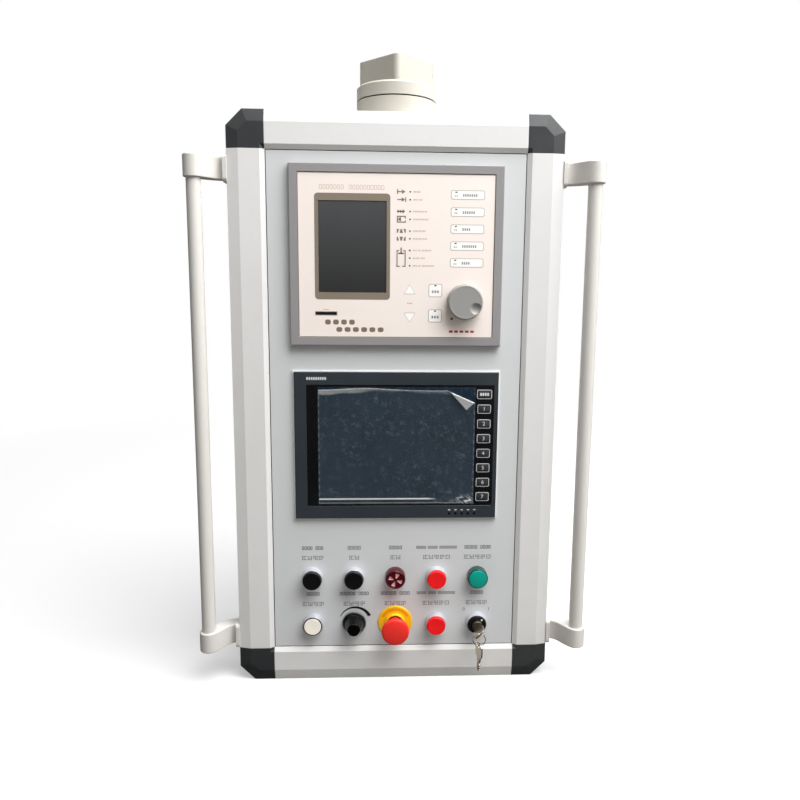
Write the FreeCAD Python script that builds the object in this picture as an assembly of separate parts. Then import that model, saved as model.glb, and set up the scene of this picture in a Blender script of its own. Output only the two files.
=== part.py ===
import FreeCAD, Part

import math
import os

V = FreeCAD.Vector

# Suspended operator panel of a blow moulding machine, millimetres.
# +X is the operator's right, +Y points into the box and +Z up. The origin is the middle of the flat
# underside, below the swivel axis of the support arm.

# ---- enclosure ----
box_width = 465.0
box_height = 830.0
box_depth = 180.0
face_width = 52.0        # width of the frame seen from the front
bevel_width = 6.5        # inner bevel down to the panel
chamfer_width = 16.5     # shallow outer facet
face_proud = 4.0         # front facet stands this far in front of the panel
skin = 3.0               # wall of the extruded rails
chamber_depth = 29.0     # front hollow chamber of a rail, walls included
lip_width = 14.0         # rebate lip that the front panel is clamped to
lip_thick = 3.0
rear_flange = 22.0
corner_cut = 22.0        # cut of the outer corners, measured along each edge
corner_wall = 4.0
spigot_length = 30.0
spigot_clearance = 0.15
end_gap = 0.2            # between the lips of neighbouring rails

# ---- front and rear panels ----
panel_thick = 3.0
panel_edge_gap = 1.2
gasket_thick = 2.0
gasket_upstand = 1.0
stud_radius = 2.5
stud_length = 13.0
stud_clearance = 0.3
studs_per_side = 5
studs_per_end = 2
nut_across = 9.0
nut_thick = 4.0
rear_thick = 2.0
rear_margin = 8.0
rear_screws_per_side = 4
rear_screws_per_end = 3
rear_screw_radius = 2.5
frame_screw_radius = 3.0
frame_screw_length = 8.0
frame_screw_head = 5.0
thread_gap = 0.05

# ---- support arm coupling ----
post_margin = 4.745      # the collar's radius past the rounded corners of the post
collar_height = 28.5
collar_bore = 44.0
seam_gap = 2.0
ring_height = 19.5
ring_chamfer = 3.0
neck_radius = 41.0
cable_bore = 36.0
bush_gap = 0.05
lock_nut_thick = 4.7
shoulder_rise = 3.2      # thread shoulder above the top of the box
coupling_screw_radius = 4.0
coupling_screw_grip = 18.0   # thread length in the collar
coupling_plate_thick = 6.0
coupling_edge_x = 25.94  # plate past the screws
coupling_edge_y = 7.94
brake_boss_radius = 8.0
brake_boss_proud = 5.5
brake_boss_rise = 12.0
post_side = 80.0
post_wall = 4.0
post_corner = 8.0
post_length = 35.0
index_nub = 5.0

# ---- grab handles ----
handle_offset_x = 42.2   # tube axis outside the box
handle_forward = 7.0     # tube axis in front of the front facet
handle_low_z = 70.5      # middle of the lower bracket
handle_top_drop = 77.5   # middle of the upper bracket below the top of the box
tube_radius = 10.0
tube_wall = 2.0
boss_radius = 13.5
bracket_height = 30.0
boss_end_wall = 4.5
socket_clearance = 0.05
arm_root_back = 21.0     # middle of the arm root behind the front facet
arm_root_width = 20.0
foot_thick = 5.5
foot_length = 46.0
foot_height = 38.0
foot_back = 4.0          # the foot sits this far behind the middle of the arm root
screw_back = 9.0         # handle screws behind the back of the arm

# ---- parison programmer ----
programmer_width = 297.0
programmer_height = 249.5
programmer_drop = 18.0   # below the top edge of the panel opening
programmer_proud = 9.0
programmer_border = 12.0
programmer_recess = 1.0
overlay_thick = 1.5
carrier_thick = 3.0
module_wall = 2.0
module_step = 7.0        # rear case is this much smaller than the bezel on each side
programmer_case_depth = 60.0
display_inset = 75.2     # middle of the display from the left inner edge of the border
display_drop = 100.25    # and from the top inner edge
display_width = 94.4
display_height = 125.4
display_flange = 3.0
display_depth = 8.0
dial_inset = 40.6        # middle of the dial from the right inner edge of the border
dial_rise = 50.75        # and from the bottom inner edge
dial_radius = 25.2
dial_height = 16.0
dial_gap = 0.5
dial_dimple_radius = 8.0
dial_dimple_depth = 3.0
dial_dimple_offset = 17.3
dial_dimple_angle = -31.0
shaft_radius = 3.0
shaft_clearance = 0.05
shaft_length = 14.0
slot_inset = 38.4
slot_rise = 33.35
slot_width = 24.0
slot_height = 2.4

# ---- touch screen terminal ----
terminal_x = 1.5
terminal_width = 297.5
terminal_height = 220.8
terminal_drop = 36.3     # below the programmer
terminal_rim = 1.8
rim_thick = 2.0
terminal_proud = 5.0
inset_left = 19.5
inset_right = 8.0
inset_bottom = 21.0
inset_top = 20.5
inset_recess = 0.4
inset_thick = 0.8
screen_left = 15.5       # from the left of the inset
screen_width = 228.0
screen_bottom = 2.7      # from the bottom of the inset
screen_height = 174.0
screen_depth = 4.0
screen_step = 0.2        # glass behind the front of the inset
film_thick = 0.6
film_gap = 0.1
film_width = 226.0
film_height = 168.0
terminal_case_depth = 50.0

# ---- operators ----
column_pitch = 61.5
row_pitch = 73.0
first_column_x = -122.0
lower_row_rise = 37.9    # above the lower edge of the panel opening
operator_tube = 10.9
operator_hole_gap = 0.3
operator_depth = 26.0    # tube length behind the panel front
bezel_taper = 0.4        # the bezel is this much wider at the panel than at its front
bezel_wall = 0.9
bezel_proud = 12.0
bezel_cup_radius = 14.0
bezel_floor = 2.5        # metal between the cup floor and the panel
plunger_radius = 8.0
plunger_gap = 0.1
cap_clearance = 0.2
cap_proud = 17.0
flush_cap_proud = 13.5
cap_back_proud = 8.0     # back of every cap, leaves the travel free above the cup floor
cap_round = 1.6
button_travel = 4.5
ring_nut_radius = 15.5
ring_nut_thick = 4.0
block_width = 30.0
block_height = 40.0
block_depth = 38.0
signal_radius = 15.0
buzzer_proud = 15.0
buzzer_slot_depth = 3.0
lens_radius = 13.3
lens_base_proud = 13.5
lens_proud = 16.0
lens_round = 1.8
knob_skirt_radius = 18.0
knob_skirt_height = 8.0
knob_grip_radius = 9.3
knob_cone_radius = 14.0
knob_rib_proud = 0.8
knob_rib_width = 3.0
knob_proud = 25.0
knob_teeth = 40
knob_gap = 0.6
pot_bush_radius = 4.7
pot_depth = 22.0
plate_radius = 26.0
plate_thick = 2.0
stop_collar_radius = 15.0
stop_collar_proud = 7.0
stop_wall = 1.9          # between the stem's bore and the outside of the operator tube, gap included
stop_neck_radius = 12.0
stop_neck_height = 10.0
stop_head_radius = 20.4
stop_head_height = 11.5
stop_proud = 36.0
stop_pin_radius = 5.0
stop_pin_length = 5.0
head_gap = 0.3
rotor_proud = 14.0
core_radius = 7.8
core_proud = 19.0
core_length = 22.0
key_thick = 1.8
key_blade_width = 7.6
key_blade_length = 22.0
key_bow_width = 19.0
key_bow_length = 22.0
key_hole_radius = 2.4
key_hole_inset = 4.6
key_neck = 3.0           # between the shoulder and the bow
key_standoff = 1.0       # shoulder in front of the lock core
key_turn = 45.0          # bow leans this far to the right of upright when switched on
key_clearance = 0.15
ring_radius = 9.2
wire_radius = 0.7
spare_turn = 21.0
spare_drop = 0.9         # middle of the spare key's hole below the middle of the wire that it hangs on

# ---- places worked out from the sizes ----
y_front = -box_depth / 2
y_back = box_depth / 2
y_panel = y_front + face_proud
y_web = y_front + chamber_depth
open_x = box_width / 2 - face_width
open_low = face_width
open_high = box_height - face_width
y_lip = y_panel + panel_thick + gasket_thick
lower_row_z = open_low + lower_row_rise
upper_row_z = lower_row_z + row_pitch
programmer_z = open_high - programmer_drop - programmer_height / 2
terminal_z = programmer_z - programmer_height / 2 - terminal_drop - terminal_height / 2
seam_z = box_height + collar_height
ring_z = seam_z + seam_gap
post_z = ring_z + ring_height
handle_high_z = box_height - handle_top_drop
handle_y = y_front - handle_forward
arm_root_y = y_front + arm_root_back
operator_hole = operator_tube + operator_hole_gap
bezel_front_radius = bezel_cup_radius + bezel_wall
bezel_radius = bezel_front_radius + bezel_taper
cap_radius = bezel_cup_radius - cap_clearance
stop_stem_radius = operator_tube - stop_wall
inner_half_width = programmer_width / 2 - programmer_border
inner_half_height = programmer_height / 2 - programmer_border
display_x = display_inset - inner_half_width
display_z = inner_half_height - display_drop
dial_x = inner_half_width - dial_inset
dial_z = dial_rise - inner_half_height
slot_x = slot_inset - inner_half_width
slot_z = slot_rise - inner_half_height
post_reach = post_side / math.sqrt(2) - post_corner * (math.sqrt(2) - 1)
collar_radius = post_reach + post_margin
coupling_bolt_circle = (collar_bore + collar_radius) / 2
coupling_plate_x = math.sqrt(2) * coupling_bolt_circle + 2 * coupling_edge_x
coupling_plate_y = math.sqrt(2) * coupling_bolt_circle + 2 * coupling_edge_y
columns = [first_column_x + column_pitch * i for i in range(5)]
programmer_front = y_panel - programmer_proud
overlay_front = programmer_front + programmer_recess
carrier_front = overlay_front + overlay_thick
terminal_front = y_panel - terminal_proud
inset_front = terminal_front + inset_recess
inset_seat = inset_front + inset_thick
screen_front = inset_front + screen_step
stop_front = y_panel - stop_proud
stop_head_back = stop_front + stop_head_height
core_front = y_panel - core_proud
core_back = core_front + core_length
key_shoulder_y = core_front - key_standoff
key_hole_y = key_shoulder_y - key_neck - key_bow_length + key_hole_inset
shoulder_z = box_height + shoulder_rise


# ---------------------------------------------------------------- shape helpers

def block(x0, x1, y0, y1, z0, z1):
    return Part.makeBox(x1 - x0, y1 - y0, z1 - z0, V(x0, y0, z0))


def centred(x, z, width, height, y0, y1):
    return block(x - width / 2, x + width / 2, y0, y1, z - height / 2, z + height / 2)


def rod_y(x, z, radius, y0, y1):
    return Part.makeCylinder(radius, y1 - y0, V(x, y0, z), V(0, 1, 0))


def rod_z(x, y, radius, z0, z1):
    return Part.makeCylinder(radius, z1 - z0, V(x, y, z0), V(0, 0, 1))


def prism(points, along):
    return Part.Face(Part.makePolygon(points + [points[0]])).extrude(along)


def turned_y(x, z, profile):
    # profile of (radius, y) pairs, closed along the axis and turned about it
    points = [V(r, y, 0) for r, y in profile]
    face = Part.Face(Part.makePolygon(points + [points[0]]))
    solid = face.revolve(V(0, 0, 0), V(0, 1, 0), 360)
    solid.translate(V(x, 0, z))
    return solid


def turned_z(profile):
    points = [V(r, 0, z) for r, z in profile]
    face = Part.Face(Part.makePolygon(points + [points[0]]))
    return face.revolve(V(0, 0, 0), V(0, 0, 1), 360)


def round_edges(shape, radius, wanted):
    edges = [e for e in shape.Edges if wanted(e)]
    return shape.makeFillet(radius, edges)


def mirrored_x(shape):
    return shape.mirror(V(0, 0, 0), V(1, 0, 0))


def group(shapes):
    return Part.makeCompound(shapes)


def spread(low, high, count):
    step = (high - low) / count
    return [low + step * (i + 0.5) for i in range(count)]


# ---------------------------------------------------------------- frame rails and corners
# A rail's section is drawn in (s, y): s is measured outwards from the edge of the panel opening.

def rail_section():
    inner = face_width - skin
    return [(0, y_panel), (bevel_width, y_front), (face_width - chamfer_width, y_front),
            (face_width, y_panel), (face_width, y_back), (face_width - rear_flange, y_back),
            (face_width - rear_flange, y_back - skin), (inner, y_back - skin), (inner, y_web),
            (0, y_web), (0, y_lip + lip_thick), (-lip_width, y_lip + lip_thick),
            (-lip_width, y_lip), (0, y_lip)]


def chamber_section(gap):
    # hollow front chamber, drawn smaller by gap for the spigot that fills it
    low, high = skin + gap, face_width - skin - gap
    top = y_front + skin + gap
    foot = y_web - skin - gap
    shoulder = top + face_proud - 0.2
    return [(low, foot), (low, shoulder), (bevel_width + gap, top),
            (face_width - chamfer_width - gap, top), (high, shoulder), (high, foot)]


def side_point(s, y, t):
    return V(open_x + s, y, open_low + t)


def top_point(s, y, t):
    return V(-open_x + t, y, open_high + s)


def bottom_point(s, y, t):
    return V(-open_x + t, y, open_low - s)


def rail(point, length):
    along = point(0, 0, length) - point(0, 0, 0)
    body = prism([point(s, y, 0) for s, y in rail_section()], along)
    return body.cut(prism([point(s, y, 0) for s, y in chamber_section(0)], along))


def end_lip_trim(shape, z0, z1):
    # the lips of the cross rails stop short of the upright rails' lips
    reach = open_x - lip_width - end_gap
    for x0, x1 in ((-open_x - 1, -reach), (reach, open_x + 1)):
        shape = shape.cut(block(x0, x1, y_lip - 1, y_lip + lip_thick + 1, z0, z1))
    return shape


def frame_screw_places():
    # (point on the surface under the head, direction of the shank)
    middle = face_width / 2
    half = spigot_length / 2
    places = []
    for x in (-open_x - middle, open_x + middle):
        for z in (open_low + half, open_high - half):
            places.append((V(x, y_web, z), V(0, -1, 0)))
    for z in (open_low - middle, open_high + middle):
        for x in (-open_x + half, open_x - half):
            places.append((V(x, y_web, z), V(0, -1, 0)))
    return places


def handle_screw_places():
    y = arm_root_y + arm_root_width / 2 + screw_back
    wall = box_width / 2 - skin
    pitch = foot_height / 2 - 8.0
    places = []
    for side in (-1, 1):
        for z in (handle_low_z, handle_high_z):
            for rise in (-pitch, pitch):
                places.append((V(side * wall, y, z + rise), V(side, 0, 0)))
    return places


def screw_holes(places, radius):
    # from 1 mm under the head to just past the point of the screw
    return [Part.makeCylinder(radius, frame_screw_length + 1.2, p - d, d) for p, d in places]


def stud_places():
    inset = lip_width / 2
    x = open_x - inset
    places = [(side * x, z) for side in (-1, 1)
              for z in spread(open_low + lip_width, open_high - lip_width, studs_per_side)]
    for z in (open_low + inset, open_high - inset):
        places += [(x_end, z) for x_end in spread(-open_x / 2, open_x / 2, studs_per_end)]
    return places


def rear_screw_places():
    s = (face_width - rear_flange + face_width - rear_margin) / 2
    x = open_x + s
    places = [(side * x, z) for side in (-1, 1)
              for z in spread(open_low, open_high, rear_screws_per_side)]
    for z in (open_low - s, open_high + s):
        places += [(x_end, z) for x_end in spread(-open_x, open_x, rear_screws_per_end)]
    return places


def drilled_rail(shape):
    cuts = screw_holes(frame_screw_places() + handle_screw_places(), frame_screw_radius + stud_clearance)
    y0, y1 = y_lip - 1, y_lip + lip_thick + 1
    cuts += [rod_y(x, z, stud_radius + stud_clearance, y0, y1) for x, z in stud_places()]
    cuts += [rod_y(x, z, rear_screw_radius + thread_gap, y_back - skin - 1, y_back + 1)
             for x, z in rear_screw_places()]
    near = [c for c in cuts if c.BoundBox.intersect(shape.BoundBox)]
    return shape.cut(near)


def rail_right():
    return drilled_rail(rail(side_point, open_high - open_low))


def rail_left():
    return drilled_rail(mirrored_x(rail(side_point, open_high - open_low)))


def rail_bottom():
    shape = end_lip_trim(rail(bottom_point, 2 * open_x), open_low, open_low + lip_width + 1)
    return drilled_rail(shape)


def rail_top():
    shape = end_lip_trim(rail(top_point, 2 * open_x), open_high - lip_width - 1, open_high)
    shape = drilled_rail(shape)
    shape = shape.cut(rod_z(0, 0, collar_bore, box_height - skin - 1, box_height + 1))
    return shape.cut(coupling_holes(box_height - skin - 1, box_height + 1, coupling_screw_radius + 0.5))


def corner_blank():
    # local frame: a and b run outwards from the opening along X and Z
    w, cut = face_width, corner_cut
    outline = [V(0, y_front, 0), V(w, y_front, 0), V(w, y_front, w - cut),
               V(w - cut, y_front, w), V(0, y_front, w)]
    body = prism(outline, V(0, y_back - y_front, 0))
    slope = face_proud / chamfer_width
    c = w - chamfer_width
    over = 2.0

    def outer_wedge(origin, out, along, start):
        points = [origin + out * start + V(0, y_front, 0),
                  origin + out * (start + chamfer_width + over) + V(0, y_panel + slope * over, 0),
                  origin + out * (start + chamfer_width + over) + V(0, y_front - over, 0),
                  origin + out * start + V(0, y_front - over, 0)]
        return prism(points, along)

    body = body.cut(outer_wedge(V(0, 0, -over), V(1, 0, 0), V(0, 0, w + 2 * over), c))
    body = body.cut(outer_wedge(V(-over, 0, 0), V(0, 0, 1), V(w + 2 * over, 0, 0), c))
    diagonal = V(1, 0, 1) / math.sqrt(2)
    across = V(1, 0, -1) / math.sqrt(2)
    reach = (2 * w - cut) / math.sqrt(2) - chamfer_width
    body = body.cut(outer_wedge(across * -w, diagonal, across * 2 * w, reach))
    return body


def corner_bevel():
    # the inner bevels of the two rails meet in a valley
    over = 2.0
    rise = face_proud / bevel_width
    profile = [(-over, y_panel + rise * over), (bevel_width, y_front),
               (bevel_width, y_front - over), (-over, y_front - over)]
    first = prism([V(s, y, -over) for s, y in profile], V(0, 0, face_width))
    second = prism([V(-over, y, s) for s, y in profile], V(face_width, 0, 0))
    return first.common(second)


def corner_pocket(y0, y1, low):
    high = face_width - corner_wall
    cut = corner_cut
    return prism([V(low, y0, low), V(high, y0, low), V(high, y0, high - cut),
                  V(high - cut, y0, high), V(low, y0, high)], V(0, y1 - y0, 0))


def corner_local():
    body = corner_blank().cut(corner_bevel())
    body = body.cut(corner_pocket(y_web, y_back - corner_wall, -1.0))
    body = body.cut(corner_pocket(y_front + face_proud + corner_wall, y_web + 1, corner_wall))
    section = chamber_section(spigot_clearance)
    body = body.fuse(prism([V(s, y, 0.5) for s, y in section], V(0, 0, -spigot_length - 0.5)))
    body = body.fuse(prism([V(0.5, y, s) for s, y in section], V(-spigot_length - 0.5, 0, 0)))
    return body.removeSplitter()


def corner(right, top):
    body = corner_local()
    if not right:
        body = mirrored_x(body)
    if not top:
        body = body.mirror(V(0, 0, 0), V(0, 0, 1))
    body.translate(V(open_x if right else -open_x, 0, open_high if top else open_low))
    cuts = screw_holes(frame_screw_places(), frame_screw_radius + thread_gap)
    return body.cut([c for c in cuts if c.BoundBox.intersect(body.BoundBox)])


def frame_screws():
    screws = []
    for p, d in frame_screw_places() + handle_screw_places():
        head = Part.makeCylinder(frame_screw_head, frame_screw_head, p - d * frame_screw_head, d)
        socket = Part.makeCylinder(frame_screw_head / 2, 3.0, p - d * frame_screw_head, d)
        shank = Part.makeCylinder(frame_screw_radius, frame_screw_length, p, d)
        screws.append(head.fuse(shank).cut(socket))
    return group(screws)


# ---------------------------------------------------------------- front and rear panels

def ring_plate(x, z0, z1, border, y0, y1):
    outer = block(-x, x, y0, y1, z0, z1)
    inner = block(-x + border, x - border, y0 - 1, y1 + 1, z0 + border, z1 - border)
    return outer.cut(inner)


def front_panel():
    gap = panel_edge_gap
    y1 = y_panel + panel_thick
    plate = block(-open_x + gap, open_x - gap, y_panel, y1, open_low + gap, open_high - gap)
    cuts = [centred(0, programmer_z, programmer_width - 2 * module_step + 1,
                    programmer_height - 2 * module_step + 1, y_panel - 1, y1 + 1),
            centred(terminal_x, terminal_z, terminal_width - 2 * module_step + 1,
                    terminal_height - 2 * module_step + 1, y_panel - 1, y1 + 1)]
    for row, z in enumerate((lower_row_z, upper_row_z)):
        for column, x in enumerate(columns):
            knob_hole = row == 0 and column == 1
            radius = pot_bush_radius + 0.1 if knob_hole else operator_hole
            cuts.append(rod_y(x, z, radius, y_panel - 1, y1 + 1))
    plate = plate.cut(cuts)
    studs = [rod_y(x, z, stud_radius, y1 - 0.5, y1 + stud_length) for x, z in stud_places()]
    return plate.fuse(studs)


def front_gasket():
    y0, y1 = y_panel + panel_thick, y_lip
    edge = 0.1
    flat = ring_plate(open_x - edge, open_low + edge, open_high - edge, lip_width - 1, y0, y1)
    rise = ring_plate(open_x - edge, open_low + edge, open_high - edge, gasket_upstand,
                      y_panel + 0.4, y1)
    holes = [rod_y(x, z, stud_radius + stud_clearance, y0 - 1, y1 + 1) for x, z in stud_places()]
    return flat.fuse(rise).cut(holes).removeSplitter()


def hexagon_y(x, z, across, y0, y1):
    radius = across / math.sqrt(3)
    points = [V(x + radius * math.cos(math.radians(60 * i)), y0, z + radius * math.sin(math.radians(60 * i)))
              for i in range(6)]
    return prism(points, V(0, y1 - y0, 0))


def panel_nuts():
    y0 = y_lip + lip_thick
    return group([hexagon_y(x, z, nut_across, y0, y0 + nut_thick)
                  .cut(rod_y(x, z, stud_radius + thread_gap, y0 - 1, y0 + nut_thick + 1))
                  for x, z in stud_places()])


def rear_panel():
    x = box_width / 2 - rear_margin
    z0, z1 = rear_margin, box_height - rear_margin
    cut = corner_cut - 2
    outline = [(-x + cut, z0), (x - cut, z0), (x, z0 + cut), (x, z1 - cut),
               (x - cut, z1), (-x + cut, z1), (-x, z1 - cut), (-x, z0 + cut)]
    plate = prism([V(a, y_back, b) for a, b in outline], V(0, rear_thick, 0))
    return plate.cut([rod_y(a, b, rear_screw_radius + stud_clearance, y_back - 1, y_back + rear_thick + 1)
                      for a, b in rear_screw_places()])


def rear_screws():
    y = y_back + rear_thick
    profile = [(0, y - 10), (rear_screw_radius, y - 10), (rear_screw_radius, y),
               (5.0, y), (4.4, y + 2.4), (0, y + 2.8)]
    slot = 1.2
    return group([turned_y(x, z, profile).cut(centred(x, z, 7.0, slot, y + 1.4, y + 4))
                  for x, z in rear_screw_places()])


# ---------------------------------------------------------------- support arm coupling

def coupling_bolts():
    r = coupling_bolt_circle
    return [(r * math.cos(math.radians(a)), r * math.sin(math.radians(a))) for a in (45, 135, 225, 315)]


def coupling_holes(z0, z1, radius):
    return [rod_z(x, y, radius, z0, z1) for x, y in coupling_bolts()]


def coupling_plate():
    z1 = box_height - skin
    z0 = z1 - coupling_plate_thick
    half_x, half_y = coupling_plate_x / 2, coupling_plate_y / 2
    plate = block(-half_x, half_x, -half_y, half_y, z0, z1)
    cuts = [rod_z(0, 0, neck_radius, z0 - 1, z1 + 1)]
    return plate.cut(cuts + coupling_holes(z0 - 1, z1 + 1, coupling_screw_radius + 0.5))


def coupling_screws():
    under = box_height - skin - coupling_plate_thick
    screws = []
    for x, y in coupling_bolts():
        head = rod_z(x, y, 6.5, under - 8, under)
        socket = rod_z(x, y, 3.2, under - 9, under - 4)
        shank = rod_z(x, y, coupling_screw_radius, under, box_height + coupling_screw_grip)
        screws.append(head.fuse(shank).cut(socket))
    return group(screws)


def collar_base():
    body = turned_z([(collar_bore, box_height), (collar_radius, box_height),
                     (collar_radius, seam_z), (collar_bore, seam_z)])
    body = body.cut(coupling_holes(box_height - 1, box_height + coupling_screw_grip + 1,
                                   coupling_screw_radius + thread_gap))
    # boss of the friction brake screw, on the operator's right
    z = box_height + brake_boss_rise
    boss = Part.makeCylinder(brake_boss_radius, brake_boss_proud + 4, V(collar_radius - 4, 0, z), V(1, 0, 0))
    socket = Part.makeCylinder(3.0, 4.0, V(collar_radius + brake_boss_proud - 3, 0, z), V(1, 0, 0))
    return body.fuse(boss).cut(socket)


def swivel_bush():
    z0, z1 = box_height + 3.5, seam_z - 0.1
    inner, outer = neck_radius + bush_gap, collar_bore - 0.02
    return turned_z([(inner, z0), (outer, z0), (outer, z1), (inner, z1)])


def swivel_seal():
    inner = collar_bore + 2.0
    outer = collar_radius - 1.5
    top = seam_z + seam_gap - 0.1
    return turned_z([(inner, seam_z), (outer, seam_z), (outer, top), (inner, top)])


def swivel_ring():
    thread = neck_radius - 2
    foot = shoulder_z - lock_nut_thick - 0.3
    body = turned_z([(cable_bore, foot), (thread, foot),
                     (thread, shoulder_z), (neck_radius, shoulder_z), (neck_radius, ring_z),
                     (collar_radius, ring_z), (collar_radius, post_z - ring_chamfer),
                     (collar_radius - ring_chamfer, post_z), (cable_bore, post_z)])
    # index nub at the front of the ring, just clear of the post's front corner
    y = -(collar_radius - ring_chamfer)
    corner_y = -post_reach - 0.2
    nub = prism([V(-index_nub / 2, y, post_z - 1), V(index_nub / 2, y, post_z - 1),
                 V(index_nub / 3, y, post_z + index_nub), V(-index_nub / 3, y, post_z + index_nub)],
                V(0, corner_y - y, 0))
    return body.fuse(nub)


def swivel_nut():
    low = shoulder_z - lock_nut_thick
    outer, inner = collar_bore - 1.0, neck_radius - 2 + thread_gap
    return turned_z([(inner, low), (outer, low), (outer, shoulder_z), (inner, shoulder_z)])


def square_tube_face(side, corner_radius, z):
    half = side / 2
    edge = half - corner_radius
    edges = []
    for k in range(4):
        turn = FreeCAD.Rotation(V(0, 0, 1), 90 * k + 45)
        start = turn.multVec(V(half, -edge, z))
        end = turn.multVec(V(half, edge, z))
        edges.append(Part.LineSegment(start, end).toShape())
        bend = corner_radius * (1 - math.sqrt(0.5))
        middle = turn.multVec(V(half - bend, half - bend, z))
        after = turn.multVec(V(edge, half, z))
        edges.append(Part.Arc(end, middle, after).toShape())
    return Part.Face(Part.Wire(edges))


def arm_post():
    outer = square_tube_face(post_side, post_corner, post_z).extrude(V(0, 0, post_length))
    inner = square_tube_face(post_side - 2 * post_wall, post_corner - post_wall, post_z - 1)
    return outer.cut(inner.extrude(V(0, 0, post_length + 2)))


# ---------------------------------------------------------------- grab handles

def bezier(*points):
    curve = Part.BezierCurve()
    curve.setPoles([V(x, y, 0) for x, y in points])
    return curve.toShape()


def bracket_right(middle_z):
    side = box_width / 2
    root = side + foot_thick - 1.0
    bx, by, r = side + handle_offset_x, handle_y, boss_radius
    front_y = arm_root_y - arm_root_width / 2
    back_y = arm_root_y + arm_root_width / 2

    def on_boss(angle):
        return bx + r * math.cos(math.radians(angle)), by + r * math.sin(math.radians(angle))

    # the front of the arm is an S from the foot to the boss, the back a gentle curve
    front_end, back_end = on_boss(250), on_boss(50)
    front = bezier((root, front_y), (root + 15, front_y), (bx - 18, front_end[1] + 5), front_end)
    back = bezier((root, back_y), (root + 18, back_y), (bx - 4, back_end[1] + 10), back_end)
    around = on_boss(-30)
    arc = Part.Arc(V(*front_end, 0), V(*around, 0), V(*back_end, 0)).toShape()
    foot_edge = Part.LineSegment(V(root, back_y, 0), V(root, front_y, 0)).toShape()
    wire = Part.Wire([front, arc, back, foot_edge])
    arm = Part.Face(wire).extrude(V(0, 0, bracket_height))
    arm.translate(V(0, 0, middle_z - bracket_height / 2))
    arm = round_edges(arm, 1.5, lambda e: abs(e.BoundBox.ZLength) < 0.01 and e.BoundBox.XMax > root + 1)
    foot_y = arm_root_y + foot_back
    foot = block(side, side + foot_thick, foot_y - foot_length / 2, foot_y + foot_length / 2,
                 middle_z - foot_height / 2, middle_z + foot_height / 2)
    foot = round_edges(foot, 6.0, lambda e: e.BoundBox.XLength > foot_thick - 0.1
                       and e.BoundBox.YLength < 0.01 and e.BoundBox.ZLength < 0.01)
    return arm.fuse(foot)


def bracket(right, top):
    middle_z = handle_high_z if top else handle_low_z
    body = bracket_right(middle_z)
    bx = box_width / 2 + handle_offset_x
    low = middle_z - bracket_height / 2
    start = low - 1 if top else low + boss_end_wall
    end = low + bracket_height - boss_end_wall if top else low + bracket_height + 1
    body = body.cut(rod_z(bx, handle_y, tube_radius + socket_clearance, start, end))
    if not right:
        body = mirrored_x(body)
    cuts = screw_holes(handle_screw_places(), frame_screw_radius + thread_gap)
    return body.cut([c for c in cuts if c.BoundBox.intersect(body.BoundBox)])


def handle_tube(right):
    z0 = handle_low_z - bracket_height / 2 + boss_end_wall
    z1 = handle_high_z + bracket_height / 2 - boss_end_wall
    x = box_width / 2 + handle_offset_x
    x = x if right else -x
    outer = rod_z(x, handle_y, tube_radius, z0, z1)
    return outer.cut(rod_z(x, handle_y, tube_radius - tube_wall, z0 - 1, z1 + 1))


# ---------------------------------------------------------------- parison programmer

def programmer_window(flange, y0, y1):
    return centred(display_x, programmer_z + display_z, display_width + 2 * flange,
                   display_height + 2 * flange, y0, y1)


def programmer_frame():
    front, carrier = programmer_front, carrier_front
    body = centred(0, programmer_z, programmer_width, programmer_height, front, y_panel)
    body = round_edges(body, 1.5, lambda e: e.BoundBox.YMax < front + 0.01)
    inner_w = programmer_width - 2 * programmer_border
    inner_h = programmer_height - 2 * programmer_border
    body = body.cut(centred(0, programmer_z, inner_w, inner_h, front - 1, carrier))
    body = body.cut(centred(0, programmer_z, inner_w, inner_h, carrier + carrier_thick, y_panel + 1))
    body = body.cut(programmer_window(display_flange + 0.3, carrier - 1, carrier + carrier_thick + 1))
    x, z = dial_x, programmer_z + dial_z
    body = body.fuse(rod_y(x, z, 8.0, carrier + 1, carrier + shaft_length + 4))
    body = body.cut(rod_y(x, z, shaft_radius + shaft_clearance, carrier - 1, carrier + shaft_length + 1))
    slot = centred(slot_x, programmer_z + slot_z, slot_width, slot_height, carrier - 1, carrier + 10)
    return body.cut(slot)


def programmer_overlay():
    carrier = carrier_front
    w = programmer_width - 2 * programmer_border - 0.4
    h = programmer_height - 2 * programmer_border - 0.4
    body = centred(0, programmer_z, w, h, overlay_front, carrier)
    body = body.cut(programmer_window(0, overlay_front - 1, carrier + 1))
    body = body.cut(rod_y(dial_x, programmer_z + dial_z, shaft_radius + 2, overlay_front - 1, carrier + 1))
    slot = centred(slot_x, programmer_z + slot_z, slot_width, slot_height, overlay_front - 1, carrier + 1)
    return body.cut(slot)


def programmer_display():
    carrier = carrier_front
    glass = programmer_window(-0.2, overlay_front + 0.7, carrier + 1)
    return glass.fuse(programmer_window(display_flange, carrier, carrier + display_depth)).removeSplitter()


def open_case(x, z, width, height, y0, y1, wall):
    shell = centred(x, z, width, height, y0, y1)
    return shell.cut(centred(x, z, width - 2 * wall, height - 2 * wall, y0 - 1, y1 - wall))


def programmer_case():
    w = programmer_width - 2 * module_step
    h = programmer_height - 2 * module_step
    case = open_case(0, programmer_z, w, h, y_panel, y_panel + programmer_case_depth, module_wall)
    vents = []
    for x in spread(-w / 2 + 20, w / 2 - 20, 12):
        vents.append(centred(x, programmer_z, 4.0, h / 2, y_panel + programmer_case_depth - 3,
                             y_panel + programmer_case_depth + 1))
    return case.cut(vents)


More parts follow.
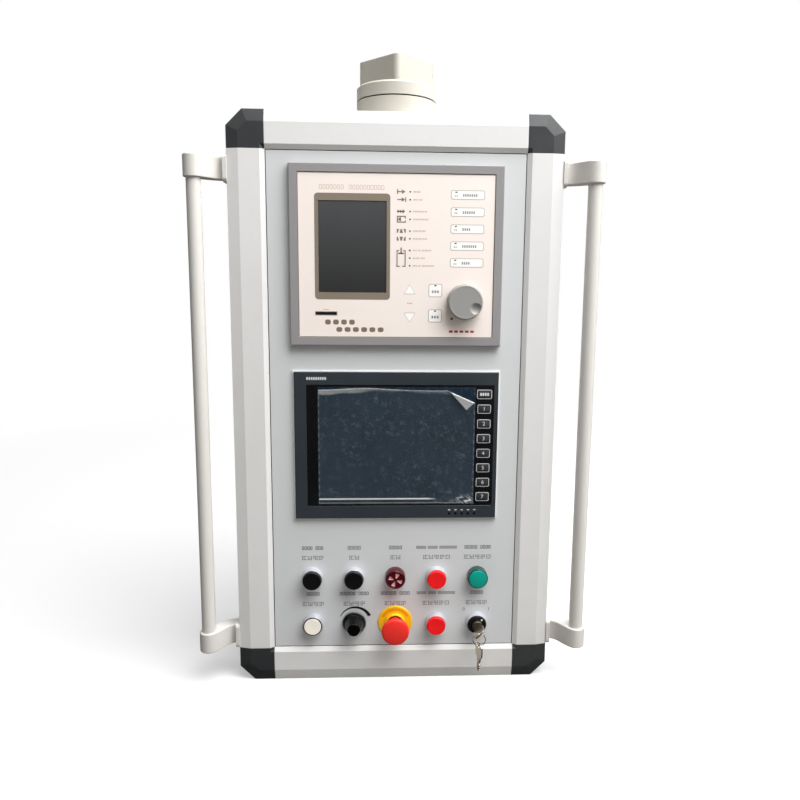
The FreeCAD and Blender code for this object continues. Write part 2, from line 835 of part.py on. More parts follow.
def jog_dial():
    carrier = carrier_front
    back = overlay_front - dial_gap
    face = back - dial_height
    r = dial_radius
    x, z = dial_x, programmer_z + dial_z
    body = turned_y(x, z, [(0, face), (r - 3, face), (r - 0.8, face + 1.2), (r, face + 4), (r, back),
                           (shaft_radius, back), (shaft_radius, carrier + shaft_length),
                           (0, carrier + shaft_length)])
    angle = math.radians(dial_dimple_angle)
    depth, radius = dial_dimple_depth, dial_dimple_radius
    ball = (radius ** 2 + depth ** 2) / (2 * depth)
    centre = V(x + dial_dimple_offset * math.cos(angle), face + depth - ball,
               z + dial_dimple_offset * math.sin(angle))
    return body.cut(Part.makeSphere(ball, centre))


# ---------------------------------------------------------------- touch screen terminal

def inset_box(grow, y0, y1):
    x0 = terminal_x - terminal_width / 2
    z0 = terminal_z - terminal_height / 2
    return block(x0 + inset_left - grow, x0 + terminal_width - inset_right + grow, y0, y1,
                 z0 + inset_bottom - grow, z0 + terminal_height - inset_top + grow)


def screen_box(grow, y0, y1):
    x0 = terminal_x - terminal_width / 2 + inset_left + screen_left
    z0 = terminal_z - terminal_height / 2 + inset_bottom + screen_bottom
    return block(x0 - grow, x0 + screen_width + grow, y0, y1, z0 - grow, z0 + screen_height + grow)


def terminal_gasket():
    outer = centred(terminal_x, terminal_z, terminal_width, terminal_height, y_panel - rim_thick, y_panel)
    inner = centred(terminal_x, terminal_z, terminal_width - 2 * module_step,
                    terminal_height - 2 * module_step, y_panel - rim_thick - 1, y_panel + 1)
    return outer.cut(inner)


def terminal_bezel():
    body = centred(terminal_x, terminal_z, terminal_width - 2 * terminal_rim,
                   terminal_height - 2 * terminal_rim, terminal_front, y_panel - rim_thick)
    body = round_edges(body, 0.8, lambda e: e.BoundBox.YMax < terminal_front + 0.01)
    body = body.cut(inset_box(0.2, terminal_front - 1, inset_seat))
    return body.cut(screen_box(0.2, terminal_front - 1, y_panel))


def terminal_overlay():
    return inset_box(0, inset_front, inset_seat).cut(screen_box(0.1, inset_front - 1, inset_seat + 1))


def terminal_screen():
    return screen_box(0, screen_front, screen_front + screen_depth)


def terminal_film():
    x0 = terminal_x - terminal_width / 2 + inset_left + screen_left + (screen_width - film_width) / 2
    z0 = terminal_z - terminal_height / 2 + inset_bottom + screen_bottom + 1
    y1 = screen_front - film_gap
    return block(x0, x0 + film_width, y1 - film_thick, y1, z0, z0 + film_height)


def terminal_case():
    w = terminal_width - 2 * module_step - 1
    h = terminal_height - 2 * module_step - 1
    y0 = y_panel - rim_thick
    shell = open_case(terminal_x, terminal_z, w, h, y0, y_panel + terminal_case_depth, module_wall)
    carrier = centred(terminal_x, terminal_z, w, h, y0 + screen_depth, y0 + screen_depth + carrier_thick)
    return shell.fuse(carrier)


# ---------------------------------------------------------------- operators

def bezel_profile(bore):
    back = y_panel + operator_depth
    front = y_panel - bezel_proud
    return [(bore, back), (operator_tube, back), (operator_tube, y_panel), (bezel_radius, y_panel),
            (bezel_radius, y_panel - 1.5), (bezel_front_radius, front), (bezel_cup_radius, front),
            (bezel_cup_radius, y_panel - bezel_floor), (bore, y_panel - bezel_floor)]


button_places = {
    "button_black_left": (columns[0], upper_row_z),
    "button_black_right": (columns[1], upper_row_z),
    "button_red_upper": (columns[3], upper_row_z),
    "button_red_lower": (columns[3], lower_row_z),
    "button_white": (columns[0], lower_row_z),
}


def button_bezels():
    bore = plunger_radius + plunger_gap
    return group([turned_y(x, z, bezel_profile(bore)) for x, z in button_places.values()])


def button_cap(x, z, proud=cap_proud):
    face = y_panel - proud
    r = cap_radius
    back = y_panel - cap_back_proud
    # the plunger ends inside the contact block, with the travel still free
    end = y_panel + operator_depth - 4.0
    profile = [(0, face), (r - cap_round, face), (r - 0.3 * cap_round, face + 0.3 * cap_round),
               (r, face + cap_round), (r, back), (plunger_radius, back), (plunger_radius, end), (0, end)]
    return turned_y(x, z, profile)


def tube_operators():
    places = [(x, z) for z in (lower_row_z, upper_row_z) for x in columns]
    places.remove((columns[1], lower_row_z))
    return places


def operator_nuts():
    y0 = y_panel + panel_thick
    inner = operator_tube + thread_gap
    return group([rod_y(x, z, ring_nut_radius, y0, y0 + ring_nut_thick)
                  .cut(rod_y(x, z, inner, y0 - 1, y0 + ring_nut_thick + 1)) for x, z in tube_operators()])


def operator_blocks():
    y0 = y_panel + operator_depth
    blocks = []
    for x, z in tube_operators():
        body = centred(x, z, block_width, block_height, y0, y0 + block_depth)
        blocks.append(body.cut(rod_y(x, z, stop_stem_radius + 1, y0 - 1, y0 + button_travel + 1)))
    x, z = columns[1], lower_row_z
    y0 = y_panel + panel_thick
    pot = rod_y(x, z, 12.0, y0, y0 + pot_depth).fuse(rod_y(x, z, pot_bush_radius, y_panel - 0.3, y0 + 1))
    blocks.append(pot.cut(rod_y(x, z, shaft_radius + shaft_clearance, y_panel - 1, y0 + shaft_length - 2)))
    return group(blocks)


def buzzer():
    x, z = columns[2], upper_row_z
    front = y_panel - buzzer_proud
    r = signal_radius
    back = y_panel + operator_depth
    body = turned_y(x, z, [(0, front), (r - 2.5, front), (r, front + 2.5), (r, y_panel),
                           (operator_tube, y_panel), (operator_tube, back), (0, back)])
    for k in range(4):
        first = math.radians(90 * k + 52)
        last = math.radians(90 * k + 92)
        inner, outer = 2.2, 9.5
        points = [V(x + rad * math.cos(a), front - 1, z + rad * math.sin(a))
                  for rad, a in ((inner, first), (outer, first), (outer, last), (inner, last))]
        body = body.cut(prism(points, V(0, 1 + buzzer_slot_depth, 0)))
    return body


def pilot_lamp():
    x, z = columns[4], upper_row_z
    base = y_panel - lens_base_proud
    front = y_panel - lens_proud
    back = y_panel + operator_depth
    body = turned_y(x, z, [(0, front), (lens_radius - lens_round, front + 0.4),
                           (lens_radius, front + lens_round), (lens_radius, base),
                           (signal_radius - 0.6, base), (signal_radius, base + 1),
                           (signal_radius, y_panel), (operator_tube, y_panel),
                           (operator_tube, back), (0, back)])
    return body


def knob():
    x, z = columns[1], lower_row_z
    back = y_panel - knob_gap
    skirt = back - knob_skirt_height
    front = y_panel - knob_proud
    points = []
    for k in range(knob_teeth * 2):
        radius = knob_skirt_radius if k % 2 else knob_skirt_radius - 0.9
        angle = math.pi * k / knob_teeth
        points.append(V(x + radius * math.cos(angle), skirt, z + radius * math.sin(angle)))
    body = prism(points, V(0, back - skirt, 0))
    body = body.fuse(turned_y(x, z, [(0, front), (knob_grip_radius - 0.8, front),
                                     (knob_grip_radius, front + 1),
                                     (knob_cone_radius, skirt - 1), (knob_skirt_radius - 2, skirt),
                                     (knob_skirt_radius - 2, back - 1), (0, back - 1)]))
    # pointer rib down the cone, pointing down at rest
    left = x - knob_rib_width / 2
    rib_low, rib_high = knob_cone_radius + knob_rib_proud, knob_grip_radius + knob_rib_proud
    rib = prism([V(left, front + 1, z), V(left, skirt, z), V(left, skirt, z - rib_low),
                 V(left, front + 1, z - rib_high)], V(knob_rib_width, 0, 0))
    body = body.fuse(rib)
    shaft_end = y_panel + panel_thick + shaft_length - 3
    return body.fuse(rod_y(x, z, shaft_radius, back - 2, shaft_end))


def estop_plate():
    x, z = columns[2], lower_row_z
    return rod_y(x, z, plate_radius, y_panel - plate_thick, y_panel).cut(
        rod_y(x, z, operator_hole, y_panel - plate_thick - 1, y_panel + 1))


def estop_body():
    x, z = columns[2], lower_row_z
    seat = y_panel - plate_thick
    back = y_panel + operator_depth
    bore = stop_stem_radius + plunger_gap
    front = y_panel - stop_collar_proud
    return turned_y(x, z, [(bore, back), (operator_tube, back), (operator_tube, seat),
                           (stop_collar_radius, seat),
                           (stop_collar_radius, front + 1), (stop_collar_radius - 1, front), (bore, front)])


def estop_plunger():
    x, z = columns[2], lower_row_z
    seat = stop_head_back + head_gap
    end = y_panel + operator_depth - 2.0
    return turned_y(x, z, [(0, seat - stop_pin_length), (stop_pin_radius, seat - stop_pin_length),
                           (stop_pin_radius, seat), (stop_neck_radius + 2.5, seat),
                           (stop_neck_radius, seat + 2.5), (stop_neck_radius, seat + stop_neck_height),
                           (stop_stem_radius, seat + stop_neck_height), (stop_stem_radius, end), (0, end)])


def estop_head():
    x, z = columns[2], lower_row_z
    front, head_back = stop_front, stop_head_back
    r = stop_head_radius
    pin = stop_pin_radius + shaft_clearance
    depth = stop_pin_length + 0.3
    return turned_y(x, z, [(0, front), (r * 0.6, front + 0.4), (r * 0.86, front + 1.7),
                           (r * 0.97, front + 3.6), (r, front + 5.6), (r, head_back - 2.4),
                           (r - 1.6, head_back - 0.4), (r - 4, head_back),
                           (pin, head_back), (pin, head_back - depth), (0, head_back - depth)])


def key_bezel():
    return turned_y(columns[4], lower_row_z, bezel_profile(plunger_radius + plunger_gap))


def key_rotor():
    x, z = columns[4], lower_row_z
    front = y_panel - rotor_proud
    floor = y_panel - bezel_floor - 0.3
    end = y_panel + operator_depth - 4.0
    body = turned_y(x, z, [(0, front), (cap_radius - 1.5, front), (cap_radius, front + 1.5),
                           (cap_radius, floor), (plunger_radius, floor), (plunger_radius, end), (0, end)])
    body = body.cut(rod_y(x, z, core_radius + thread_gap, front - 1, core_back))
    # round pit of the position dot
    angle = math.radians(90 - key_turn)
    dot = rod_y(x + 10.3 * math.cos(angle), z + 10.3 * math.sin(angle), 1.3, front - 1, front + 0.4)
    return body.cut(dot)


def upright_to_on(shape):
    shape.rotate(V(columns[4], 0, lower_row_z), V(0, 1, 0), key_turn)
    return shape


def lock_core():
    x, z = columns[4], lower_row_z
    start = core_front
    body = turned_y(x, z, [(0, start), (core_radius - 0.8, start), (core_radius, start + 0.8),
                           (core_radius, core_back), (0, core_back)])
    slot = centred(x, z, key_thick + 2 * key_clearance, key_blade_width + 2 * key_clearance,
                   start - 1, start + key_blade_length - 3)
    return upright_to_on(body.cut(slot))


def key_flat():
    # a key lying in the plane X = 0: blade towards +Y, bow towards -Y, its shoulder at Y = 0
    half = key_bow_width / 2
    length = key_bow_length
    neck = key_neck
    bow = block(-key_thick / 2, key_thick / 2, -neck - length, -neck, -half, half)
    bow = round_edges(bow, 6.5, lambda e: e.BoundBox.XLength > key_thick - 0.1)
    shank = block(-key_thick / 2, key_thick / 2, -neck - 1, 0.5, -4.6, 4.6)
    tip = key_blade_length - 4
    blade_half = key_blade_width / 2
    blade = prism([V(-key_thick / 2, 0, -blade_half), V(-key_thick / 2, tip - 4, -blade_half),
                   V(-key_thick / 2, tip, 0), V(-key_thick / 2, tip - 4, blade_half),
                   V(-key_thick / 2, 0, blade_half)], V(key_thick, 0, 0))
    bites = [block(-key_thick, key_thick, y, y + 1.6, -blade_half - 1, -blade_half + 1.2)
             for y in spread(3, tip - 4, 4)]
    hole_y = -neck - length + key_hole_inset
    hole = Part.makeCylinder(key_hole_radius, 2 * key_thick, V(-key_thick, hole_y, 0), V(1, 0, 0))
    return bow.fuse([shank, blade]).cut(bites + [hole]).removeSplitter()


def key():
    body = key_flat()
    body.translate(V(columns[4], key_shoulder_y, lower_row_z))
    return upright_to_on(body)


def key_ring():
    ring = Part.makeTorus(ring_radius, wire_radius, V(0, 0, 0), V(0, 1, 0))
    ring.translate(V(columns[4], key_hole_y, lower_row_z - ring_radius))
    return ring


def spare_key():
    body = key_flat()
    # hang it by its hole: the bow up and the blade down
    body.translate(V(0, key_neck + key_bow_length - key_hole_inset, 0))
    body.rotate(V(0, 0, 0), V(1, 0, 0), -90)
    body.rotate(V(0, 0, 0), V(0, 0, 1), spare_turn)
    body.translate(V(columns[4], key_hole_y, lower_row_z - 2 * ring_radius - spare_drop))
    return body


# ---------------------------------------------------------------- export

def parts():
    made = {
        "rail_top": rail_top(),
        "rail_bottom": rail_bottom(),
        "rail_left": rail_left(),
        "rail_right": rail_right(),
        "frame_screws": frame_screws(),
        "front_panel": front_panel(),
        "front_gasket": front_gasket(),
        "panel_nuts": panel_nuts(),
        "rear_panel": rear_panel(),
        "rear_screws": rear_screws(),
        "coupling_plate": coupling_plate(),
        "coupling_screws": coupling_screws(),
        "collar_base": collar_base(),
        "swivel_bush": swivel_bush(),
        "swivel_seal": swivel_seal(),
        "swivel_ring": swivel_ring(),
        "swivel_nut": swivel_nut(),
        "arm_post": arm_post(),
        "programmer_frame": programmer_frame(),
        "programmer_overlay": programmer_overlay(),
        "programmer_display": programmer_display(),
        "programmer_case": programmer_case(),
        "jog_dial": jog_dial(),
        "terminal_gasket": terminal_gasket(),
        "terminal_bezel": terminal_bezel(),
        "terminal_overlay": terminal_overlay(),
        "terminal_screen": terminal_screen(),
        "terminal_film": terminal_film(),
        "terminal_case": terminal_case(),
        "button_bezels": button_bezels(),
        "operator_nuts": operator_nuts(),
        "operator_blocks": operator_blocks(),
        "buzzer": buzzer(),
        "pilot_lamp": pilot_lamp(),
        "knob": knob(),
        "estop_plate": estop_plate(),
        "estop_body": estop_body(),
        "estop_plunger": estop_plunger(),
        "estop_head": estop_head(),
        "key_bezel": key_bezel(),
        "key_rotor": key_rotor(),
        "lock_core": lock_core(),
        "key": key(),
        "key_ring": key_ring(),
        "spare_key": spare_key(),
    }
    for side, right in (("left", False), ("right", True)):
        made["handle_tube_" + side] = handle_tube(right)
        for level, top in (("bottom", False), ("top", True)):
            made["corner_" + level + "_" + side] = corner(right, top)
            made["bracket_" + level + "_" + side] = bracket(right, top)
    for name, (x, z) in button_places.items():
        made[name] = button_cap(x, z, flush_cap_proud if name == "button_white" else cap_proud)
    return made


os.makedirs("parts", exist_ok=True)
total = 0.0
for name, shape in sorted(parts().items()):
    if not shape.isValid() or shape.Volume <= 0:
        raise ValueError(name + " is not a valid solid")
    shape.exportStep("parts/" + name + ".step")
    total += shape.Volume
    print(name, len(shape.Solids), "solids", round(shape.Volume / 1000, 1), "cm3")
print("total", round(total / 1e6, 2), "litres of material")
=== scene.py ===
import math

import bmesh
import bpy
import numpy as np
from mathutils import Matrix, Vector


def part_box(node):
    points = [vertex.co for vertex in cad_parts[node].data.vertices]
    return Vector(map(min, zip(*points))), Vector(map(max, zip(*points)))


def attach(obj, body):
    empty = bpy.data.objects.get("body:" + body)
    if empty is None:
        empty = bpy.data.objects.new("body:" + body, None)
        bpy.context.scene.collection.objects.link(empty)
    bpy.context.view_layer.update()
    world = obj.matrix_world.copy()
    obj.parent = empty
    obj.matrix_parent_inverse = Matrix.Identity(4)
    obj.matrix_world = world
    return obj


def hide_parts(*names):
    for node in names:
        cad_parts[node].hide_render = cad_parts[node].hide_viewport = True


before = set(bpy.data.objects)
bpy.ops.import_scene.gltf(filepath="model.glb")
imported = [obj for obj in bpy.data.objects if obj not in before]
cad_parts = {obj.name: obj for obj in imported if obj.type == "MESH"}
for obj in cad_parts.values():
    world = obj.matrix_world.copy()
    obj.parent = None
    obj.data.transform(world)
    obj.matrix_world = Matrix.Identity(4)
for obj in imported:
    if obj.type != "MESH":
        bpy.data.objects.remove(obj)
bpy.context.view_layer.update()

mm = 0.001
sharpFrom = 32.0
inkLift = 0.05  # how far print stands on a surface
print("frame loaded,", len(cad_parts), "nodes")


# places, all read from the frame, in millimetres
def corners(node):
    low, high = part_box(node)
    return np.array(low) / mm, np.array(high) / mm


def middle(node):
    low, high = corners(node)
    return (low + high) / 2


def tint(red, green, blue):
    # an 8 bit display colour as linear light: c/12.92 below 0.04045, else ((c+0.055)/1.055)^2.4
    c = np.array([red, green, blue]) / 255
    linear = np.where(c < 0.04045, c / 12.92, ((c + 0.055) / 1.055) ** 2.4)
    return (*[float(v) for v in linear], 1.0)


panelFace = corners("front_panel")[0][1]


# shapes: every shell is (points in mm, list of faces)
def gridQuads(rows, columns, closeRows=False):
    # cell (i, j) joins points (i, j), (i, j+1), (i+1, j+1), (i+1, j); columns always wrap round
    r = np.arange(rows if closeRows else rows - 1)[:, None]
    c = np.arange(columns)[None, :]
    here = r * columns
    beyond = ((r + 1) % rows) * columns
    right = (c + 1) % columns
    return np.stack([here + c, here + right, beyond + right, beyond + c], -1).reshape(-1, 4)


def loft(rings, closed=False):
    # rings is (rows, columns, 3); an open loft is capped at both ends
    rows, columns = rings.shape[:2]
    faces = gridQuads(rows, columns, closed).tolist()
    if not closed:
        first = np.arange(columns)
        faces += [first.tolist(), (first + (rows - 1) * columns).tolist()]
    return rings.reshape(-1, 3), faces


def eased(profile, radius, steps=5):
    # corner P becomes (1-t)^2 S + 2t(1-t) P + t^2 E, with S and E up to radius away along its sides
    p = np.array(profile, float)
    reach = np.broadcast_to(np.array(radius, float), len(p)).copy()
    reach[[0, -1]] = 0
    back = np.roll(p, 1, 0) - p
    ahead = np.roll(p, -1, 0) - p
    backLength = np.linalg.norm(back, axis=1) + 1e-12
    aheadLength = np.linalg.norm(ahead, axis=1) + 1e-12
    start = p + back * (np.minimum(reach, backLength / 2) / backLength)[:, None]
    end = p + ahead * (np.minimum(reach, aheadLength / 2) / aheadLength)[:, None]
    t = np.linspace(0, 1, steps)[None, :, None]
    bend = (1 - t) ** 2 * start[:, None] + 2 * t * (1 - t) * p[:, None] + t ** 2 * end[:, None]
    line = bend.reshape(-1, 2)
    step = np.linalg.norm(np.diff(line, axis=0), axis=1)
    return line[np.concatenate([[True], step > 1e-5])]


def turned(profile, x, z, sides=96, ripple=None, closed=False):
    # profile is (radius, proud) pairs; point = (x + r cos a, panelFace - proud, z + r sin a)
    line = np.array(profile, float)
    angle = np.arange(sides) * 2 * np.pi / sides
    radius = line[:, 0][:, None] + np.zeros(sides)[None, :]
    proud = line[:, 1][:, None] + np.zeros(sides)[None, :]
    if ripple:
        radius, proud = ripple(radius, proud, angle[None, :])
    rings = np.stack([x + radius * np.cos(angle), panelFace - proud, z + radius * np.sin(angle)], -1)
    return loft(rings, closed)


def roundedOutline(width, height, radius, steps=6):
    # four quarter arcs: corner centre + radius (cos a, sin a)
    sweep = np.linspace(0, np.pi / 2, steps + 1)[None, :]
    angle = np.arange(4)[:, None] * np.pi / 2 + sweep
    sideX = np.array([1, -1, -1, 1])[:, None]
    sideZ = np.array([1, 1, -1, -1])[:, None]
    x = sideX * (width / 2 - radius) + radius * np.cos(angle)
    z = sideZ * (height / 2 - radius) + radius * np.sin(angle)
    return np.stack([x.ravel(), z.ravel()], -1)


def ringAt(outline, y, x=0.0, z=0.0):
    # point = (outline x + x, y, outline z + z)
    return np.stack([outline[:, 0] + x, np.full(len(outline), y), outline[:, 1] + z], -1)


def pad(x, z, width, height, radius, backY, frontY, edge=0.0):
    # a rounded rectangle from backY to frontY, its front rim eased by edge
    levels = [(0.0, backY), (0.0, frontY + edge)]
    if edge:
        levels += [(edge * 0.3, frontY + edge * 0.3), (edge, frontY)]
    rings = [ringAt(roundedOutline(width - 2 * s, height - 2 * s, max(radius - s, 0.05)), y, x, z)
             for s, y in levels]
    return loft(np.array(rings))


def hoop(x, z, width, height, radius, band, backY, frontY, steps=6):
    # the space between a rounded rectangle and the same one smaller by band
    outer = roundedOutline(width, height, radius, steps)
    inner = roundedOutline(width - 2 * band, height - 2 * band, max(radius - band, 0.1), steps)
    rings = [ringAt(outer, backY, x, z), ringAt(outer, frontY, x, z),
             ringAt(inner, frontY, x, z), ringAt(inner, backY, x, z)]
    return loft(np.array(rings), closed=True)


def plate(outline, backY, frontY, x=0.0, z=0.0):
    # the outline carried straight from backY to frontY
    line = np.array(outline, float)
    return loft(np.array([ringAt(line, backY, x, z), ringAt(line, frontY, x, z)]))


def arcBand(x, z, inner, outer, start, stop, backY, frontY, steps=48):
    # inner and outer radius run evenly from start to stop degrees
    t = np.linspace(0, 1, steps)
    angle = np.radians(start + (stop - start) * t)
    low = inner[0] + (inner[1] - inner[0]) * t
    high = outer[0] + (outer[1] - outer[0]) * t
    radius = np.stack([low, high, high, low], 1)
    y = np.broadcast_to([backY, backY, frontY, frontY], radius.shape)
    return loft(np.stack([x + radius * np.cos(angle)[:, None], y,
                          z + radius * np.sin(angle)[:, None]], -1))


def joined(name, shells, weld=0.0):
    # one mesh in metres from shells in millimetres, with faces outward; weld joins points that near
    counts = np.cumsum([0] + [len(p) for p, _ in shells])
    points = np.concatenate([p for p, _ in shells]) * mm
    faces = [[i + start for i in face] for (_, shell), start in zip(shells, counts) for face in shell]
    mesh = bpy.data.meshes.new(name)
    mesh.from_pydata(points.tolist(), [], faces)
    work = bmesh.new()
    work.from_mesh(mesh)
    if weld:
        bmesh.ops.remove_doubles(work, verts=work.verts, dist=weld)
    bmesh.ops.recalc_face_normals(work, faces=work.faces)
    work.to_mesh(mesh)
    work.free()
    return mesh


def marked(mesh, label, values):
    # a value for each point, which a finish reads by its label
    layer = mesh.attributes.new(label, "FLOAT", "POINT")
    layer.data.foreach_set("value", np.asarray(values, np.float32).ravel())


def showPiece(mesh, finish, body, replaces=()):
    # an object that rides with its body, filled by its finish and standing in for the nodes it replaces
    mesh.materials.append(finish)
    piece = bpy.data.objects.new(mesh.name, mesh)
    bpy.context.scene.collection.objects.link(piece)
    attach(piece, body)
    if replaces:
        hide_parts(*replaces)
    return piece


def makePiece(name, shells, finish, body, replaces=(), marks=None):
    # closed shells as one smooth piece; edges sharper than sharpFrom degrees stay crisp
    mesh = joined(name, shells)
    mesh.shade_smooth()
    mesh.set_sharp_from_angle(angle=math.radians(sharpFrom))
    for label, values in (marks or {}).items():
        marked(mesh, label, values)
    return showPiece(mesh, finish, body, replaces)


# surface effects used by several finishes
def socketsOf(group, inputs, outputs):
    for label, kind, value in inputs:
        entry = group.interface.new_socket(label, in_out="INPUT", socket_type=kind)
        entry.default_value = value
    for label, kind in outputs:
        group.interface.new_socket(label, in_out="OUTPUT", socket_type=kind)
    return group.nodes.new("NodeGroupInput").outputs, group.nodes.new("NodeGroupOutput").inputs


def node(tree, kind, links=(), **values):
    # makes a node, sets its properties, and links or sets its inputs
    made = tree.nodes.new(kind)
    for label, value in values.items():
        setattr(made, label, value)
    for label, value in dict(links).items():
        if isinstance(value, bpy.types.NodeSocket):
            tree.links.new(value, made.inputs[label])
        else:
            made.inputs[label].default_value = value
    return made


def noise(tree, place, scale, detail=3.0, rough=0.55):
    return node(tree, "ShaderNodeTexNoise",
                {"Vector": place, "Scale": scale, "Detail": detail, "Roughness": rough}).outputs["Fac"]


def sums(tree, operation, first, second=0.5, clamp=False):
    return node(tree, "ShaderNodeMath", {0: first, 1: second}, operation=operation,
                use_clamp=clamp).outputs[0]


def ranged(tree, value, low, high, outLow=0.0, outHigh=1.0):
    return node(tree, "ShaderNodeMapRange",
                {"Value": value, "From Min": low, "From Max": high, "To Min": outLow,
                 "To Max": outHigh}).outputs[0]


def blended(tree, share, first, second):
    made = node(tree, "ShaderNodeMix", {0: share, 6: first, 7: second}, data_type="RGBA")
    return made.outputs[2]


def toneEffect():
    # colour = base * (1 + amount * (cloudy noise + 0.4 * fine noise)), centred on the base
    group = bpy.data.node_groups.new("toneEffect", "ShaderNodeTree")
    given, out = socketsOf(group, [("Colour", "NodeSocketColor", (0.8, 0.8, 0.8, 1)),
                                   ("Amount", "NodeSocketFloat", 0.1),
                                   ("Scale", "NodeSocketFloat", 8.0)], [("Colour", "NodeSocketColor")])
    place = node(group, "ShaderNodeTexCoord").outputs["Object"]
    broad = noise(group, place, given["Scale"])
    fineScale = sums(group, "MULTIPLY", given["Scale"], 14.0)
    fine = noise(group, place, fineScale, 4.0)
    both = sums(group, "ADD", sums(group, "SUBTRACT", broad), sums(group, "MULTIPLY",
                sums(group, "SUBTRACT", fine), 0.4))
    share = sums(group, "ADD", sums(group, "MULTIPLY", both, given["Amount"]), 1.0)
    scaled = node(group, "ShaderNodeVectorMath", {0: given["Colour"], "Scale": share},
                  operation="SCALE").outputs[0]
    group.links.new(scaled, out["Colour"])
    return group


def edgeEffect():
    # mask = how far a rounded normal leans from the true one, broken up by noise
    group = bpy.data.node_groups.new("edgeEffect", "ShaderNodeTree")
    given, out = socketsOf(group, [("Width", "NodeSocketFloat", 0.0008),
                                   ("Breakup", "NodeSocketFloat", 0.5)],
                           [("Mask", "NodeSocketFloat"), ("Normal", "NodeSocketVector")])
    place = node(group, "ShaderNodeTexCoord").outputs["Object"]
    soft = node(group, "ShaderNodeBevel", {"Radius": given["Width"]}, samples=4).outputs[0]
    true = node(group, "ShaderNodeNewGeometry").outputs["Normal"]
    lean = node(group, "ShaderNodeVectorMath", {0: soft, 1: true}, operation="DOT_PRODUCT").outputs["Value"]
    edge = ranged(group, lean, 0.995, 0.90)
    chips = ranged(group, noise(group, place, 160.0, 5.0, 0.7), 0.42, 0.62)
    kept = sums(group, "SUBTRACT", 1.0, given["Breakup"])
    spread = sums(group, "ADD", kept, sums(group, "MULTIPLY", chips, given["Breakup"]))
    group.links.new(sums(group, "MULTIPLY", edge, spread, True), out["Mask"])
    group.links.new(soft, out["Normal"])
    return group


def grainEffect():
    # height = fine noise plus coarser orange peel; shade = the same field for roughness
    group = bpy.data.node_groups.new("grainEffect", "ShaderNodeTree")
    given, out = socketsOf(group, [("Scale", "NodeSocketFloat", 900.0)],
                           [("Height", "NodeSocketFloat"), ("Shade", "NodeSocketFloat")])
    place = node(group, "ShaderNodeTexCoord").outputs["Object"]
    fine = noise(group, place, given["Scale"], 2.0)
    peel = noise(group, place, sums(group, "MULTIPLY", given["Scale"], 0.22), 2.0)
    height = sums(group, "ADD", sums(group, "MULTIPLY", fine, 0.6), sums(group, "MULTIPLY", peel, 0.7))
    wipe = noise(group, place, 14.0, 4.0)
    shade = sums(group, "ADD", sums(group, "MULTIPLY", peel, 0.35), sums(group, "MULTIPLY", wipe, 0.65))
    group.links.new(height, out["Height"])
    group.links.new(shade, out["Shade"])
    return group


def soilEffect():
    # mask = smudges where two noises are both high, stronger towards the foot of the box
    group = bpy.data.node_groups.new("soilEffect", "ShaderNodeTree")
    given, out = socketsOf(group, [("Amount", "NodeSocketFloat", 0.2)], [("Mask", "NodeSocketFloat")])
    place = node(group, "ShaderNodeTexCoord").outputs["Object"]
    height = node(group, "ShaderNodeSeparateXYZ", {0: place}).outputs["Z"]
    low = ranged(group, height, 0.30, 0.0, 0.35, 1.0)
    broad = ranged(group, noise(group, place, 7.0, 4.0, 0.6), 0.46, 0.72)
    specks = ranged(group, noise(group, place, 260.0, 2.0, 0.6), 0.66, 0.74)
    smear = sums(group, "MULTIPLY", sums(group, "MULTIPLY", broad, low), given["Amount"])
    dots = sums(group, "MULTIPLY", specks, sums(group, "MULTIPLY", given["Amount"], 0.7))
    group.links.new(sums(group, "ADD", smear, dots, True), out["Mask"])
    return group


effects = {"tone": toneEffect(), "edge": edgeEffect(), "grain": grainEffect(), "soil": soilEffect()}
plain = dict(rough=0.45, roughSpread=0.12, metal=0.0, coat=0.0, tone=0.06, toneScale=6.0, grain=900.0,
             bump=0.12, relief=0.00012, wear=0.0, wearColour=tint(225, 222, 216), edgeWidth=0.0007,
             breakup=0.6, soil=0.0, soilColour=tint(150, 140, 118), specular=0.5)


def effectNode(tree, label, links):
    return node(tree, "ShaderNodeGroup", links, node_tree=effects[label])


def makeFinish(name, colour, **changes):
    # colour -> tone -> worn edges -> soil; roughness and bump from the grain
    look = dict(plain, **changes)
    made = bpy.data.materials.new(name)
    made.use_nodes = True
    tree = made.node_tree
    shader = tree.nodes["Principled BSDF"]
    base = effectNode(tree, "tone", {"Colour": colour, "Amount": look["tone"], "Scale": look["toneScale"]})
    edge = effectNode(tree, "edge", {"Width": look["edgeWidth"], "Breakup": look["breakup"]})
    grain = effectNode(tree, "grain", {"Scale": look["grain"]})
    shown = base.outputs["Colour"]
    if look["wear"]:
        share = sums(tree, "MULTIPLY", edge.outputs["Mask"], look["wear"])
        shown = blended(tree, share, shown, look["wearColour"])
    if look["soil"]:
        soil = effectNode(tree, "soil", {"Amount": look["soil"]})
        shown = blended(tree, soil.outputs["Mask"], shown, look["soilColour"])
    tree.links.new(shown, shader.inputs["Base Color"])
    low = max(look["rough"] - look["roughSpread"], 0.03)
    rough = ranged(tree, grain.outputs["Shade"], 0.3, 0.7, low, look["rough"] + look["roughSpread"])
    tree.links.new(rough, shader.inputs["Roughness"])
    shader.inputs["Metallic"].default_value = look["metal"]
    shader.inputs["Coat Weight"].default_value = look["coat"]
    shader.inputs["Coat Roughness"].default_value = 0.08
    shader.inputs["Specular IOR Level"].default_value = look["specular"]
    bump = node(tree, "ShaderNodeBump", {"Height": grain.outputs["Height"], "Strength": look["bump"],
                                         "Distance": look["relief"], "Normal": edge.outputs["Normal"]})
    tree.links.new(bump.outputs[0], shader.inputs["Normal"])
    return made


def dress(finish, *nodes):
    for name in nodes:
        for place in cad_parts[name].material_slots:
            place.material = finish


